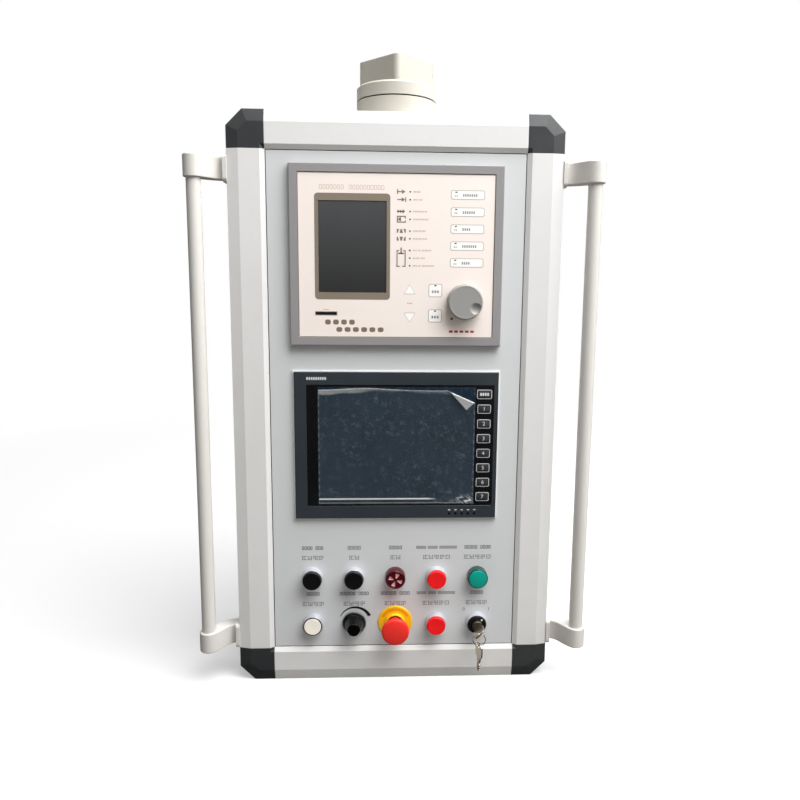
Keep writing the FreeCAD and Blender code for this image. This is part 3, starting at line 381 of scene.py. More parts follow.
# finishes of the parts whose shape is already right
railPaint = makeFinish("railPaint", tint(221, 220, 219), rough=0.42, tone=0.05, wear=0.25, soil=0.14,
                       wearColour=tint(236, 233, 228), grain=1400.0, bump=0.10, coat=0.05)
cornerPaint = makeFinish("cornerPaint", tint(47, 49, 51), rough=0.46, tone=0.22, wear=0.5,
                         wearColour=tint(104, 104, 102), grain=700.0, bump=0.35, edgeWidth=0.0012, soil=0.10,
                         soilColour=tint(92, 90, 82))
panelPaint = makeFinish("panelPaint", tint(206, 208, 209), rough=0.46, tone=0.035, wear=0.2, soil=0.07,
                        grain=1800.0, bump=0.16, wearColour=tint(205, 205, 205),
                        soilColour=tint(160, 156, 146))
couplingPaint = makeFinish("couplingPaint", tint(186, 182, 172), rough=0.5, tone=0.09, wear=0.25, soil=0.3,
                           grain=600.0, bump=0.22, soilColour=tint(124, 114, 94))
postPaint = makeFinish("postPaint", tint(184, 180, 170), rough=0.42, tone=0.08, wear=0.2, soil=0.28,
                       grain=700.0, bump=0.15, soilColour=tint(130, 122, 104))
handleCoat = makeFinish("handleCoat", tint(211, 208, 203), rough=0.38, tone=0.05, wear=0.15, soil=0.14,
                        grain=800.0, bump=0.12, coat=0.1, soilColour=tint(168, 156, 138))
zincPlate = makeFinish("zincPlate", tint(190, 190, 184), metal=1.0, rough=0.32, tone=0.12, grain=1200.0,
                       wear=0.4, wearColour=tint(225, 225, 220))
sealRubber = makeFinish("sealRubber", tint(32, 31, 30), rough=0.75, tone=0.15, grain=600.0, bump=0.3,
                        specular=0.3)
bushPlastic = makeFinish("bushPlastic", tint(212, 208, 198), rough=0.4, grain=700.0)
nutMetal = makeFinish("nutMetal", tint(200, 200, 198), metal=1.0, rough=0.3, tone=0.1, grain=900.0)
programmerShell = makeFinish("programmerShell", tint(144, 141, 142), rough=0.5, tone=0.05, grain=1500.0,
                             bump=0.3, wear=0.3, wearColour=tint(176, 172, 170), edgeWidth=0.0009)
creamFilm = makeFinish("creamFilm", tint(243, 232, 225), rough=0.4, tone=0.025, toneScale=4.0, grain=1800.0,
                       bump=0.08, coat=0.08)
caseSteel = makeFinish("caseSteel", tint(188, 188, 186), metal=1.0, rough=0.36, tone=0.1, grain=1000.0)
rimPlastic = makeFinish("rimPlastic", tint(240, 242, 240), rough=0.4, grain=1200.0)
slatePlastic = makeFinish("slatePlastic", tint(46, 52, 58), rough=0.42, tone=0.14, grain=1500.0, bump=0.22,
                          wear=0.25, wearColour=tint(86, 96, 104))
blackFilm = makeFinish("blackFilm", tint(10, 11, 13), rough=0.3, tone=0.15, grain=1800.0, bump=0.05,
                       coat=0.2)
blockPlastic = makeFinish("blockPlastic", tint(66, 66, 66), rough=0.5, tone=0.1)
satinRing = makeFinish("satinRing", tint(206, 207, 214), metal=0.5, rough=0.36, roughSpread=0.06, tone=0.05,
                       grain=2000.0, bump=0.05)
nickel = makeFinish("nickel", tint(214, 204, 184), metal=1.0, rough=0.2, roughSpread=0.08, tone=0.16,
                    toneScale=60.0, grain=2600.0, bump=0.12, wear=0.4, wearColour=tint(236, 230, 216))
capBlack = makeFinish("capBlack", tint(12, 12, 13), rough=0.3, tone=0.2, toneScale=40.0, grain=1600.0,
                      bump=0.06, wear=0.25, wearColour=tint(56, 56, 58))
capRed = makeFinish("capRed", tint(246, 8, 18), rough=0.34, tone=0.06, toneScale=40.0, grain=1500.0,
                    bump=0.06, wear=0.3, wearColour=tint(240, 70, 62), coat=0.1)
capIvory = makeFinish("capIvory", tint(255, 248, 234), rough=0.36, tone=0.05, toneScale=40.0, grain=1500.0,
                      bump=0.06, coat=0.1)
gasketGrey = makeFinish("gasketGrey", tint(150, 150, 150), rough=0.6, tone=0.1, grain=900.0, bump=0.2)
lockSteel = makeFinish("lockSteel", tint(112, 104, 92), metal=1.0, rough=0.3, tone=0.1, grain=1800.0)
knobBlack = makeFinish("knobBlack", tint(3, 3, 4), rough=0.24, roughSpread=0.06, tone=0.2, toneScale=40.0,
                       grain=1600.0, bump=0.05, specular=0.28)
plateYellow = makeFinish("plateYellow", tint(250, 192, 4), rough=0.45, tone=0.08, toneScale=30.0,
                         grain=1500.0, bump=0.1, wear=0.2, wearColour=tint(255, 214, 80))
stopRed = makeFinish("stopRed", tint(236, 40, 30), rough=0.46, tone=0.08, toneScale=30.0, grain=900.0,
                     bump=0.14, wear=0.25, wearColour=tint(236, 96, 84))
lensGreen = makeFinish("lensGreen", tint(0, 154, 134), rough=0.3, tone=0.1, toneScale=60.0, grain=1200.0,
                       bump=0.05, coat=0.1, specular=0.3)
lensRim = makeFinish("lensRim", tint(0, 62, 56), rough=0.3, tone=0.14, toneScale=60.0, coat=0.2)
printed = dict(rough=0.5, tone=0.12, toneScale=300.0, grain=2000.0, edgeWidth=0.00008, specular=0.3)
inkDark = makeFinish("inkDark", tint(62, 62, 66), **printed)
plateInk = makeFinish("plateInk", tint(214, 120, 24), rough=0.5, tone=0.12, toneScale=200.0,
                      edgeWidth=0.00008)
inkBlack = makeFinish("inkBlack", tint(12, 12, 13), **printed)
inkBrown = makeFinish("inkBrown", tint(128, 110, 94), **printed)
inkGrey = makeFinish("inkGrey", tint(184, 178, 172), **printed)
inkFaint = makeFinish("inkFaint", tint(192, 170, 152), **printed)
inkMid = makeFinish("inkMid", tint(142, 140, 140), **printed)
inkRed = makeFinish("inkRed", tint(176, 52, 46), **printed)
inkPale = makeFinish("inkPale", tint(206, 210, 208), **printed)
inkTaupe = makeFinish("inkTaupe", tint(132, 121, 106), rough=0.42, tone=0.08, grain=1800.0, bump=0.1,
                      edgeWidth=0.0003)
keyWhite = makeFinish("keyWhite", tint(250, 248, 245), rough=0.4, tone=0.02, grain=1800.0, edgeWidth=0.00012)
goldDot = makeFinish("goldDot", tint(150, 124, 66), metal=0.8, rough=0.3, tone=0.1, toneScale=200.0)

dress(railPaint, "rail_top", "rail_bottom", "rail_left", "rail_right")
dress(cornerPaint, "corner_top_left", "corner_top_right", "corner_bottom_left", "corner_bottom_right")
dress(panelPaint, "front_panel", "rear_panel")
dress(couplingPaint, "collar_base", "swivel_ring")
dress(postPaint, "arm_post")
dress(handleCoat, "handle_tube_left", "handle_tube_right", "bracket_bottom_left", "bracket_bottom_right",
      "bracket_top_left", "bracket_top_right")
dress(zincPlate, "frame_screws", "panel_nuts", "rear_screws", "coupling_screws", "coupling_plate",
      "operator_nuts")
dress(sealRubber, "front_gasket", "swivel_seal")
dress(bushPlastic, "swivel_bush")
dress(nutMetal, "swivel_nut")
dress(programmerShell, "programmer_frame")
dress(creamFilm, "programmer_overlay")
dress(caseSteel, "programmer_case", "terminal_case")
dress(rimPlastic, "terminal_gasket")
dress(slatePlastic, "terminal_bezel")
dress(blackFilm, "terminal_overlay")
dress(blockPlastic, "operator_blocks")
dress(nickel, "key", "key_ring", "spare_key")
print("finishes made")


# push buttons
buttonPlan = dict(capRadius=13.75, capFoot=8.0, capFront=17.0, flushFront=13.5, rimWidth=1.5, rimEase=1.6,
                  dish=0.35, ringRadius=12.85, flushRing=13.1, bezelFoot=15.3, bezelLip=14.9,
                  bezelBore=14.0, bezelProud=12.0, bezelFloor=2.6, gasketRadius=15.2, gasketThick=0.3)


def bezelShell(x, z):
    # a closed ring: foot, shallow groove, wall that narrows a little, rolled front lip, bore
    b = buttonPlan
    foot, lip, bore, top = b["bezelFoot"], b["bezelLip"], b["bezelBore"], b["bezelProud"]
    outer = eased([(bore, b["bezelFloor"]), (bore, top - 0.5), (bore + 0.3, top), (lip - 0.3, top),
                   (lip, top - 0.5), (lip + 0.2, 4.4), (lip, 4.0), (lip, 3.4), (lip + 0.3, 3.0),
                   (foot, 0.9), (foot, 0.02), (bore, 0.02)], 0.3, 4)
    return turned(outer, x, z, closed=True)


def gasketShell(x, z):
    # a flat ring under the bezel
    b = buttonPlan
    outer, thick, bore = b["gasketRadius"], b["gasketThick"], b["bezelBore"] - 0.8
    line = eased([(bore, 0.01), (bore, thick), (outer - 0.2, thick), (outer, thick * 0.5), (outer, 0.01)],
                 0.15, 3)
    return turned(line, x, z, closed=True)


def capShell(x, z, radius, front):
    # straight skirt, eased rim, then a face that sinks by dish (1 - (r / face)^2)
    b = buttonPlan
    face = radius - b["rimWidth"]
    foot = b["capFoot"]
    skirt = eased([(radius - 1.5, foot), (radius, foot), (radius, front), (face - 0.6, front)],
                  [0, 0.2, b["rimEase"], 0], 9)
    r = np.linspace(face - 0.6, 0.3, 14)[1:]
    bowl = np.stack([r, front - b["dish"] * (1 - (r / (face - 0.6)) ** 2)], -1)
    return turned(np.concatenate([skirt, bowl]), x, z)


def capRing(x, z, front):
    # thin black collar between the flush cap and its bezel
    b = buttonPlan
    inner, outer, foot = b["ringRadius"] + 0.05, b["capRadius"], b["capFoot"]
    return turned(eased([(inner, foot), (outer, foot), (outer, front), (inner, front + 0.1)],
                        [0, 0.2, 0.4, 0], 5), x, z, closed=True)


buttons = {"button_black_left": (capBlack, "button_black"),
           "button_black_right": (capBlack, "button_black"),
           "button_red_upper": (capRed, "button_red"),
           "button_red_lower": (capRed, "button_red"),
           "button_white": (capIvory, "button_ivory")}
bezels, gaskets = [], []
b = buttonPlan
for name, (finish, slot) in buttons.items():
    x, _, z = middle(name)
    bezels.append(bezelShell(x, z))
    gaskets.append(gasketShell(x, z))
    flush = name == "button_white"
    radius = b["ringRadius"] if flush else b["capRadius"]
    front = b["flushFront"] if flush else b["capFront"]
    makePiece(name + "_cap", [capShell(x, z, radius, front)], finish, name, [name])
    if flush:
        makePiece(name + "_ring", [capRing(x, z, b["flushRing"])], capBlack, name)
makePiece("button_bezel_rings", bezels, satinRing, "root", ["button_bezels"])
print("push buttons made")


# buzzer
buzzerPlan = dict(radius=15.0, proud=15.0, faceRadius=12.6, recess=0.6, blades=4, bladeIn=2.4,
                  bladeOut=10.4, bladeHalf=19.0, bladeTurn=70.0, pocket=1.2)


def buzzerShell(x, z):
    # turned can; on its face four sectors sink by pocket * inside(r) * inside(a)
    b = buzzerPlan
    side = eased([(11, 0.02), (b["radius"], 0.02), (b["radius"], 12.6), (13.4, b["proud"]),
                  (b["faceRadius"], b["proud"]), (b["faceRadius"] - 0.3, b["proud"] - b["recess"])],
                 [0, 0.3, 1.6, 0.8, 0.3, 0], 6)
    r = np.linspace(b["faceRadius"] - 0.3, 0.3, 44)[1:]
    face = np.stack([r, np.full(len(r), b["proud"] - b["recess"])], -1)

    def pockets(radius, proud, angle):
        pitch = 360 / b["blades"]
        turn = (np.degrees(angle) - b["bladeTurn"] + pitch / 2) % pitch - pitch / 2
        across = np.clip((b["bladeHalf"] - np.abs(turn)) / 3.0, 0, 1)
        along = np.clip((radius - b["bladeIn"]) / 0.5, 0, 1) * np.clip((b["bladeOut"] - radius) / 0.5, 0, 1)
        onFace = proud <= b["proud"] - b["recess"] + 1e-6
        sunk = across * along * onFace * (radius < b["faceRadius"] - 0.4)
        pockets.depth = sunk
        return radius, proud - b["pocket"] * sunk

    shell = turned(np.concatenate([side, face]), x, z, 240, pockets)
    return shell, pockets.depth.ravel()


def buzzerFinish():
    # dark red, blended to a pale pink where the pocket mark passes a half
    made = makeFinish("buzzerRed", tint(72, 4, 16), rough=0.3, tone=0.15, toneScale=60.0, specular=0.3,
                      grain=1500.0, bump=0.05)
    tree = made.node_tree
    shader = tree.nodes["Principled BSDF"]
    under = shader.inputs["Base Color"].links[0].from_socket
    pocket = node(tree, "ShaderNodeAttribute", attribute_name="pocket").outputs["Fac"]
    share = ranged(tree, pocket, 0.3, 0.7)
    tree.links.new(blended(tree, share, under, tint(232, 172, 172)), shader.inputs["Base Color"])
    return made


x, _, z = middle("buzzer")
shell, depth = buzzerShell(x, z)
makePiece("buzzer_can", [shell], buzzerFinish(), "root", ["buzzer"], marks={"pocket": depth})
gaskets.append(gasketShell(x, z))
print("buzzer made")


# pilot lamp
lampPlan = dict(rimRadius=15.0, rimProud=13.5, lensRadius=13.3, lensFoot=11.0, lensFront=16.0, shoulder=1.8,
                dome=0.7)


def lensShell(x, z):
    # short skirt, eased shoulder, face that rises by dome (1 - (r / R)^2)
    b = lampPlan
    face, edge = b["lensRadius"] - b["shoulder"], b["lensFront"] - b["dome"]
    side = eased([(b["lensRadius"] - 1.5, b["lensFoot"]), (b["lensRadius"], b["lensFoot"]),
                  (b["lensRadius"], edge), (face, edge)], [0, 0.2, b["shoulder"], 0], 8)
    r = np.linspace(face, 0.3, 16)[1:]
    dome = np.stack([r, edge + b["dome"] * (1 - (r / face) ** 2)], -1)
    return turned(np.concatenate([side, dome]), x, z, 128)


x, _, z = middle("pilot_lamp")
b = lampPlan
outer, proud = b["rimRadius"], b["rimProud"]
rim = eased([(12.6, 0.02), (12.6, 12.4), (b["lensRadius"] + 0.2, proud), (outer, proud), (outer, 0.02)],
            [0, 0.2, 0.2, 0.8, 0], 5)
makePiece("pilot_lamp_rim", [turned(rim, x, z, closed=True)], lensRim, "root")
makePiece("pilot_lamp_lens", [lensShell(x, z)], lensGreen, "root", ["pilot_lamp"])
gaskets.append(gasketShell(x, z))
print("pilot lamp made")


# potentiometer knob
knobPlan = dict(skirtRadius=18.0, teeth=34, toothDepth=3.4, skirtProud=7.0, coneFoot=14.0, coneTop=9.3,
                front=25.0, ribWidth=3.0, ribProud=0.8, arcIn=22.4, arcThick=(1.0, 5.0), arcFrom=156.0,
                arcTo=24.0)


def knobSkirt(x, z):
    # toothed disc: r - depth * (saw of teeth)^0.6 on its rim, then a shoulder that rises to the cone
    b = knobPlan
    rim, top = b["skirtRadius"], b["skirtProud"]
    line = eased([(6, 0.6), (rim, 0.6), (rim, top - 3.0), (rim - 1.2, top - 1.6), (b["coneFoot"], top)],
                 [0, 0.3, 0.6, 0.8, 0], 5)

    def teeth(radius, proud, angle):
        wave = np.abs(((angle * b["teeth"] / (2 * np.pi)) % 1) * 2 - 1) ** 0.6
        outerPart = np.clip((radius - rim + 4.0) / 2.6, 0, 1)
        return radius - b["toothDepth"] * wave * outerPart, proud

    return turned(line, x, z, b["teeth"] * 8, teeth)


def knobGrip(x, z):
    # cone from the skirt to a flat front; a rib of gaussian section runs down its lower side
    b = knobPlan
    foot, top, front = b["coneFoot"], b["coneTop"], b["front"]
    line = eased([(foot, b["skirtProud"] - 1.0), (foot, b["skirtProud"]), (top + 1.2, front - 5.0),
                  (top, front), (top - 1.5, front), (0.3, front - 0.2)], [0, 0.4, 3.0, 0.9, 0.2, 0], 7)

    def rib(radius, proud, angle):
        across = radius * np.cos(angle)
        below = (np.sin(angle) < 0) & (radius > 5.0)
        hump = b["ribProud"] * np.exp(-(across / (b["ribWidth"] / 2)) ** 2) * below
        flats = 0.35 * np.cos(6 * angle) * (radius > 5.0) * (proud > b["skirtProud"])
        return radius + hump + flats, proud

    return turned(line, x, z, 192, rib)


x, z = middle("knob")[0], middle("button_white")[2]  # the knob's box also holds its pointer rib
makePiece("knob_body", [knobSkirt(x, z), knobGrip(x, z)], knobBlack, "knob", ["knob"])
b = knobPlan
thin, thick = b["arcThick"]
knobArc = arcBand(x, z, (b["arcIn"], b["arcIn"]), (b["arcIn"] + thin, b["arcIn"] + thick), b["arcFrom"],
                  b["arcTo"], panelFace + 0.02, panelFace - 0.06)
makePiece("knob_scale", [knobArc], inkBlack, "root")
print("knob made")


# emergency stop
stopPlan = dict(plateRadius=26.0, plateThick=2.0, collarRadius=15.0, collarProud=7.0, stemRadius=9.0,
                neckRadius=11.9, neckFrom=9.2, headRadius=20.4, headBack=24.5, headFront=36.0, crown=1.6,
                flutes=24, fluteDepth=0.2, markIn=18.6, markOut=22.4, markArc=4.6,
                markTurns=(28, 152, 8))


def stopHead(x, z):
    # mushroom: cone under it, fluted rim, then a crown that falls by crown (r / R)^2.4
    b = stopPlan
    rimRadius, back, front, fall = b["headRadius"], b["headBack"], b["headFront"], b["crown"]
    face = rimRadius - 2.2
    rim = eased([(9.0, back), (13.0, back), (rimRadius - 1.6, back + 1.8), (rimRadius, back + 3.4),
                 (rimRadius, front - fall - 1.6), (face, front - fall)], [0, 1.0, 1.0, 1.4, 2.2, 0], 7)
    r = np.linspace(face, 0.3, 26)[1:]
    dome = np.stack([r, front - fall * (r / face) ** 2.4], -1)

    def flutes(radius, proud, angle):
        onRim = np.clip((radius - rimRadius + 1.2) / 1.0, 0, 1)
        return radius - b["fluteDepth"] * onRim * (0.5 + 0.5 * np.cos(b["flutes"] * angle)), proud

    return turned(np.concatenate([rim, dome]), x, z, 192, flutes)


x, _, z = middle("estop_plate")
b = stopPlan
outer, thick = b["plateRadius"], b["plateThick"]
plateLine = eased([(11.5, 0.02), (11.5, thick), (outer - 1.2, thick), (outer, 1.0), (outer, 0.02)], 0.6, 5)
makePiece("estop_disc", [turned(plateLine, x, z, 128, closed=True)], plateYellow, "root",
          ["estop_plate"])
ringBack = panelFace - thick
ringMarks = [arcBand(x, z, (b["markIn"],) * 2, (b["markOut"],) * 2, turn, turn + b["markArc"],
                     ringBack + 0.02, ringBack - inkLift, 6) for turn in range(*b["markTurns"])]
makePiece("estop_disc_marks", ringMarks, plateInk, "root")
outer, proud = b["collarRadius"], b["collarProud"]
collarLine = eased([(12.3, 1.5), (12.3, proud), (13.9, proud), (outer, proud - 1.4), (outer, 1.5)], 0.6, 5)
makePiece("estop_collar", [turned(collarLine, x, z, closed=True)], plateYellow, "root",
          ["estop_body"])
neckTop = b["headBack"] - 0.3
neckLine = eased([(6.0, 3.0), (b["stemRadius"], 3.0), (b["stemRadius"], b["neckFrom"]),
                  (b["neckRadius"], b["neckFrom"]), (b["neckRadius"], neckTop), (6.0, neckTop)],
                 [0, 0.3, 0.4, 0.8, 0.2, 0], 5)
for name, shell, body in (("estop_neck", turned(neckLine, x, z), "estop_plunger"),
                          ("estop_mushroom", stopHead(x, z), "estop_head")):
    makePiece(name, [shell], stopRed, body, [body])
print("emergency stop made")


# key switch
switchPlan = dict(rotorRadius=13.75, rotorProud=14.0, coreRadius=7.8, coreProud=18.8, dotRadius=1.4,
                  dotPlace=10.4, dotTurn=48.0, markRise=19.1, markReach=19.0, markHeight=5.0)
x, _, z = middle("key_rotor")
b = switchPlan
gaskets.append(gasketShell(x, z))
makePiece("key_bezel_ring", [bezelShell(x, z)], satinRing, "root", ["key_bezel"])
core, rotor, proud = b["coreRadius"], b["rotorRadius"], b["rotorProud"]
rotorLine = eased([(core, 6.5), (rotor, 6.5), (rotor, proud - 0.6), (rotor - 1.8, proud),
                   (core + 1.2, proud), (core, proud - 1.0)], 0.7, 5)
makePiece("key_rotor_face", [turned(rotorLine, x, z, closed=True)], capBlack, "switch",
          ["key_rotor"])
front, side = b["coreProud"], core - 0.05
coreLine = eased([(4.0, 5.5), (side, 5.5), (side, front - 0.5), (core - 1.0, front), (2.0, front),
                  (1.0, front - 0.3)], [0, 0.2, 0.4, 0.4, 0.3, 0], 5)
makePiece("lock_barrel", [turned(coreLine, x, z)], lockSteel, "switch", ["lock_core"])
turn = math.radians(b["dotTurn"])
dotLine = eased([(0.2, proud - 0.4), (b["dotRadius"], proud - 0.4), (b["dotRadius"], proud + 0.1),
                 (0.2, proud + 0.15)], [0, 0, 0.2, 0], 4)
dot = turned(dotLine, x + b["dotPlace"] * math.cos(turn), z + b["dotPlace"] * math.sin(turn), 24)
makePiece("key_rotor_dot", [dot], keyWhite, "switch")
zero = hoop(x - b["markReach"], z + b["markRise"], 3.4, b["markHeight"], 1.6, 0.6, panelFace + 0.02,
            panelFace - 0.06)
one = pad(x + b["markReach"], z + b["markRise"], 0.7, b["markHeight"], 0.2, panelFace + 0.02,
          panelFace - 0.06)
print("key switch made")


# legends on the panel: rows of small blocks, no letters
legendPlan = dict(rises=((44.9, 29.6), (46.0, 29.9)), glyph=(3.2, 5.6), glyphGap=0.8, wordGap=4.0,
                  smallGlyph=(2.2, 4.5), smallGap=0.75, smallWordGap=2.6, band=0.85, smallBand=0.68,
                  sign=6.4, signGap=2.0, cells=3, cell=1.5)
legendRows = {"button_black_left": ((4, 3), 4), "button_black_right": ((5,), 2), "buzzer": ((5,), 2),
              "button_red_upper": ((5, 5, 9), 5), "pilot_lamp": ((5, 4), 5), "button_white": ((5,), 4),
              "knob": ((6, 4), 4), "estop_plate": ((6, 4), 4), "button_red_lower": ((5, 4, 9), 5),
              "key_rotor": ((5,), 4)}


def places(x, words, width, gap, wordGap, fromLeft=False):
    # the middle of each place in each word; the row is centred on x or starts there
    rest = np.concatenate([np.arange(count) * (width + gap) for count in words])
    before = np.concatenate([[0.0], np.cumsum([count * (width + gap) + wordGap for count in words])])[:-1]
    found = rest + np.repeat(before, words)
    return found + (x + width / 2 if fromLeft else x - found[-1] / 2)


def blockRow(x, z, words, block, gap, wordGap, backY, frontY, fromLeft=False):
    # one small plain block at each place
    return [plate(roundedOutline(*block, min(block) * 0.25, 1), backY, frontY, float(p), z)
            for p in places(x, words, block[0], gap, wordGap, fromLeft)]


def frameRow(x, z, words, block, gap, wordGap, band, backY, frontY, fromLeft=False):
    # one small open frame at each place
    return [hoop(float(p), z, *block, min(block) * 0.3, band, backY, frontY, 2)
            for p in places(x, words, block[0], gap, wordGap, fromLeft)]


def cellRow(x, z, count, size, gap, backY, frontY):
    # each sign is a 3 by 3 field of small squares, one of them left out in turn
    b = legendPlan
    shift = (size - b["cell"]) / (b["cells"] - 1)
    ways = range(b["cells"])
    return [plate(roundedOutline(b["cell"], b["cell"], 0.3, 1), backY, frontY, float(p) + (i - 1) * shift,
                  z + (j - 1) * shift)
            for k, p in enumerate(places(x, (count,), size, gap, 0.0)) for i in ways for j in ways
            if i + 3 * j != (2 * k + 5) % 9]


legends = [zero, one]
b = legendPlan
legendBack, legendFront = panelFace + 0.02, panelFace - inkLift
lowerRow = middle("button_white")[2]
for name, (words, signs) in legendRows.items():
    x = middle(name)[0]
    below = middle(name)[2] < lowerRow + 30
    z = lowerRow if below else middle(name)[2]
    upper, lower = b["rises"][1 if below else 0]
    sizes = ("glyph", "glyphGap", "wordGap", "band")
    if len(words) > 2:
        sizes = ("smallGlyph", "smallGap", "smallWordGap", "smallBand")
    legends += frameRow(x, z + upper, words, *[b[label] for label in sizes], legendBack, legendFront)
    legends += cellRow(x, z + lower, signs, b["sign"], b["signGap"], legendBack, legendFront)
makePiece("panel_legends", legends, inkDark, "root")
makePiece("operator_gaskets", gaskets, gasketGrey, "root")
print("legends made")


# parison programmer: printed front, keys, display
frontLow, frontHigh = corners("programmer_overlay")
filmFace = frontLow[1]
px, pz = (frontLow[0] + frontHigh[0]) / 2, (frontLow[2] + frontHigh[2]) / 2
programmerPlan = dict(surround=(104.4, 145.0, 5.0), window=(94.4, 125.4, 1.2), titleRise=93.0,
                      titleReach=-62.0, keyReach=98.0, keyTop=84.6, keyPitch=23.1, keySize=(47.0, 12.8),
                      keyProud=0.12, keyBand=1.1, stroke=1.5, rowTop=87.85, rowPitch=10.55, groupGap=15.85,
                      groups=(2, 2, 2, 3), dotReach=18.2, signReach=6.2, labelReach=22.8, squareReach=54.6,
                      squares=(-46.5, -82.0), squareSize=(19.3, 18.5), arrowReach=18.6,
                      arrows=(-45.4, -84.2), slotReach=-98.1, slotDrop=-79.4, slotSize=(31.6, 6.4),
                      slotBand=1.1, nameDrop=-91.5, nameGap=3.4, redReach=92.5, redDrop=-12.4,
                      nameRows=((-79.0, 0.0, 4, (7.8, 7.0)), (-51.0, -10.4, 6, (8.2, 6.6))),
                      dialDot=(-17.6, -23.9), keyWords=(7, 6, 4, 7, 4),
                      title=((7, 10), (3.8, 6.2), 1.15, 6.0, 0.6), labelBlock=((1.25, 2.2), 0.7, 1.3),
                      labelWords=((5,), (3, 3), (10,), (11,), (9,), (10,), (3, 2, 7), (5, 3), (3, 2, 9)))
# places inside a key, from its left or middle and from its middle or top, with what stands there
keyPlan = dict(textAt=(16.5, -0.4), text=((2.0, 3.8), 1.0, 0), codeAt=(5.0, -1.4),
               code=((2,), (1.7, 2.6), 0.8, 0), barAt=(7.4, -2.8), bar=(3.0, 1.6, 0.3), squareTextDrop=-1.6,
               squareText=((3,), (2.6, 3.8), 1.1, 0), squareBarDrop=-2.4, squareBar=(3.0, 1.8, 0.4),
               arrow=((0, -6.6), (8.4, -6.6), (0, 7.6), (-8.4, -6.6), (0, -6.6)), arrowEase=2.2,
               arrowInside=0.88)
b = programmerPlan
inkBack, inkFront = filmFace + 0.02, filmFace - inkLift
filmProud = panelFace - filmFace
x, _, z = middle("programmer_display")
windowLow, windowHigh = corners("programmer_display")
outer, inner = roundedOutline(*b["surround"]), roundedOutline(*b["window"])
surround = loft(np.array([ringAt(line, y, x, z) for line, y in ((outer, inkBack), (outer, inkFront),
                                                               (inner, inkFront), (inner, inkBack))]), True)
makePiece("programmer_surround", [surround], inkTaupe, "root")

titles = frameRow(px + b["titleReach"], pz + b["titleRise"], *b["title"], inkBack, inkFront)
rows, level = [], pz + b["rowTop"]
for count in b["groups"]:
    rows += [level - b["rowPitch"] * i for i in range(count)]
    level = rows[-1] - b["groupGap"]
dots = [turned([(0.2, filmProud + 0.02), (1.15, filmProud + 0.02), (1.15, filmProud + 0.15),
                (0.2, filmProud + 0.17)], px + b["dotReach"], v, 16) for v in rows]
labels = []
for words, v in zip(b["labelWords"], rows):
    labels += blockRow(px + b["labelReach"], v, words, *b["labelBlock"], inkBack, inkFront, True)


# the signs beside the lamps: strokes (x, z, width, height) and arrow heads (x, reach, half height)
line = b["stroke"]
arrowSigns = {0: ([(-5.4, 0, line, 6.4), (-2.2, 0, 6.6, line)], [(0.6, 5.0, 3.0)]),
              1: ([(-2.4, 0, 6.6, line), (5.6, 0, line, 6.4)], [(0.2, 4.8, 3.0)]),
              2: ([(-1.6, 0, 8.6, line)], [(-5.4, 3.4, 2.4), (-1.9, 3.4, 2.4), (1.6, 3.4, 3.2)]),
              3: ([(0, 3.9, 12.2, line), (0, -3.9, 12.2, line), (-5.4, 0, line, 9.2), (5.4, 2.6, line, 3.6),
                   (5.4, -3.0, line, 3.0), (-1.2, 0, line, 5.2)], [(-1.6, -3.4, 3.0)])}
wedgeSigns = {4: 1, 5: -1}  # rows, and which way up
wedge = np.array([(-2.4, -2.7), (2.4, -2.7), (1.0, 2.7), (-1.0, 2.7)])
sideWedge = np.array([(-1.6, 2.7), (1.6, 2.7), (-0.2, -2.7), (-1.6, -2.7)])
tankPlan = dict(half=5.6, aboveRow=0.2, belowRow=1.6, footReach=4.0, footWidth=4.6, topReach=4.4,
                topWidth=3.4, rod=(2.0, 8.4), rodDrop=0.6, piston=(8.0, 2.2), pistonDrop=4.4)


def stroke(x, z, width, height):
    return pad(x, z, width, height, 0.2, inkBack, inkFront)


def tankSign(x, top, foot):
    # an open vessel with a piston on a rod
    t = tankPlan
    shells = [stroke(x, top - t["rodDrop"], *t["rod"]), stroke(x, top - t["pistonDrop"], *t["piston"])]
    for side in (1, -1):
        shells += [stroke(x + side * t["half"], (top + foot) / 2, line, top - foot),
                   stroke(x + side * t["footReach"], foot + line / 2, t["footWidth"], line),
                   stroke(x + side * t["topReach"], top - line / 2, t["topWidth"], line)]
    return shells


signX = px + b["signReach"]
signs = tankSign(signX, rows[6] + tankPlan["aboveRow"], rows[8] - tankPlan["belowRow"])
for row, (strokes, heads) in arrowSigns.items():
    signs += [stroke(signX + sx, rows[row] + sz, *size) for sx, sz, *size in strokes]
    signs += [plate([(0, -half), (reach, 0), (0, half)], inkBack, inkFront, signX + sx, rows[row])
              for sx, reach, half in heads]
for row, way in wedgeSigns.items():
    signs.append(plate(wedge * [1, way], inkBack, inkFront, signX, rows[row]))
    signs += [plate(sideWedge * [side, way], inkBack, inkFront, signX - side * 4.6, rows[row])
              for side in (1, -1)]

# the keys: five wide ones, two square ones and two triangles
band = b["keyBand"]
keyBack, keyFront = filmFace + 0.02, filmFace - b["keyProud"]
textBack, textFront = keyFront + 0.02, keyFront - inkLift
keyShells, keyFrames, keyText, keyCodes, keyBars = [], [], [], [], []


def printedKey(x, z, width, height):
    keyShells.append(pad(x, z, width - 2 * band, height - 2 * band, 2.0, keyBack, keyFront))
    keyFrames.append(hoop(x, z, width, height, 2.8, band, inkBack, inkFront))


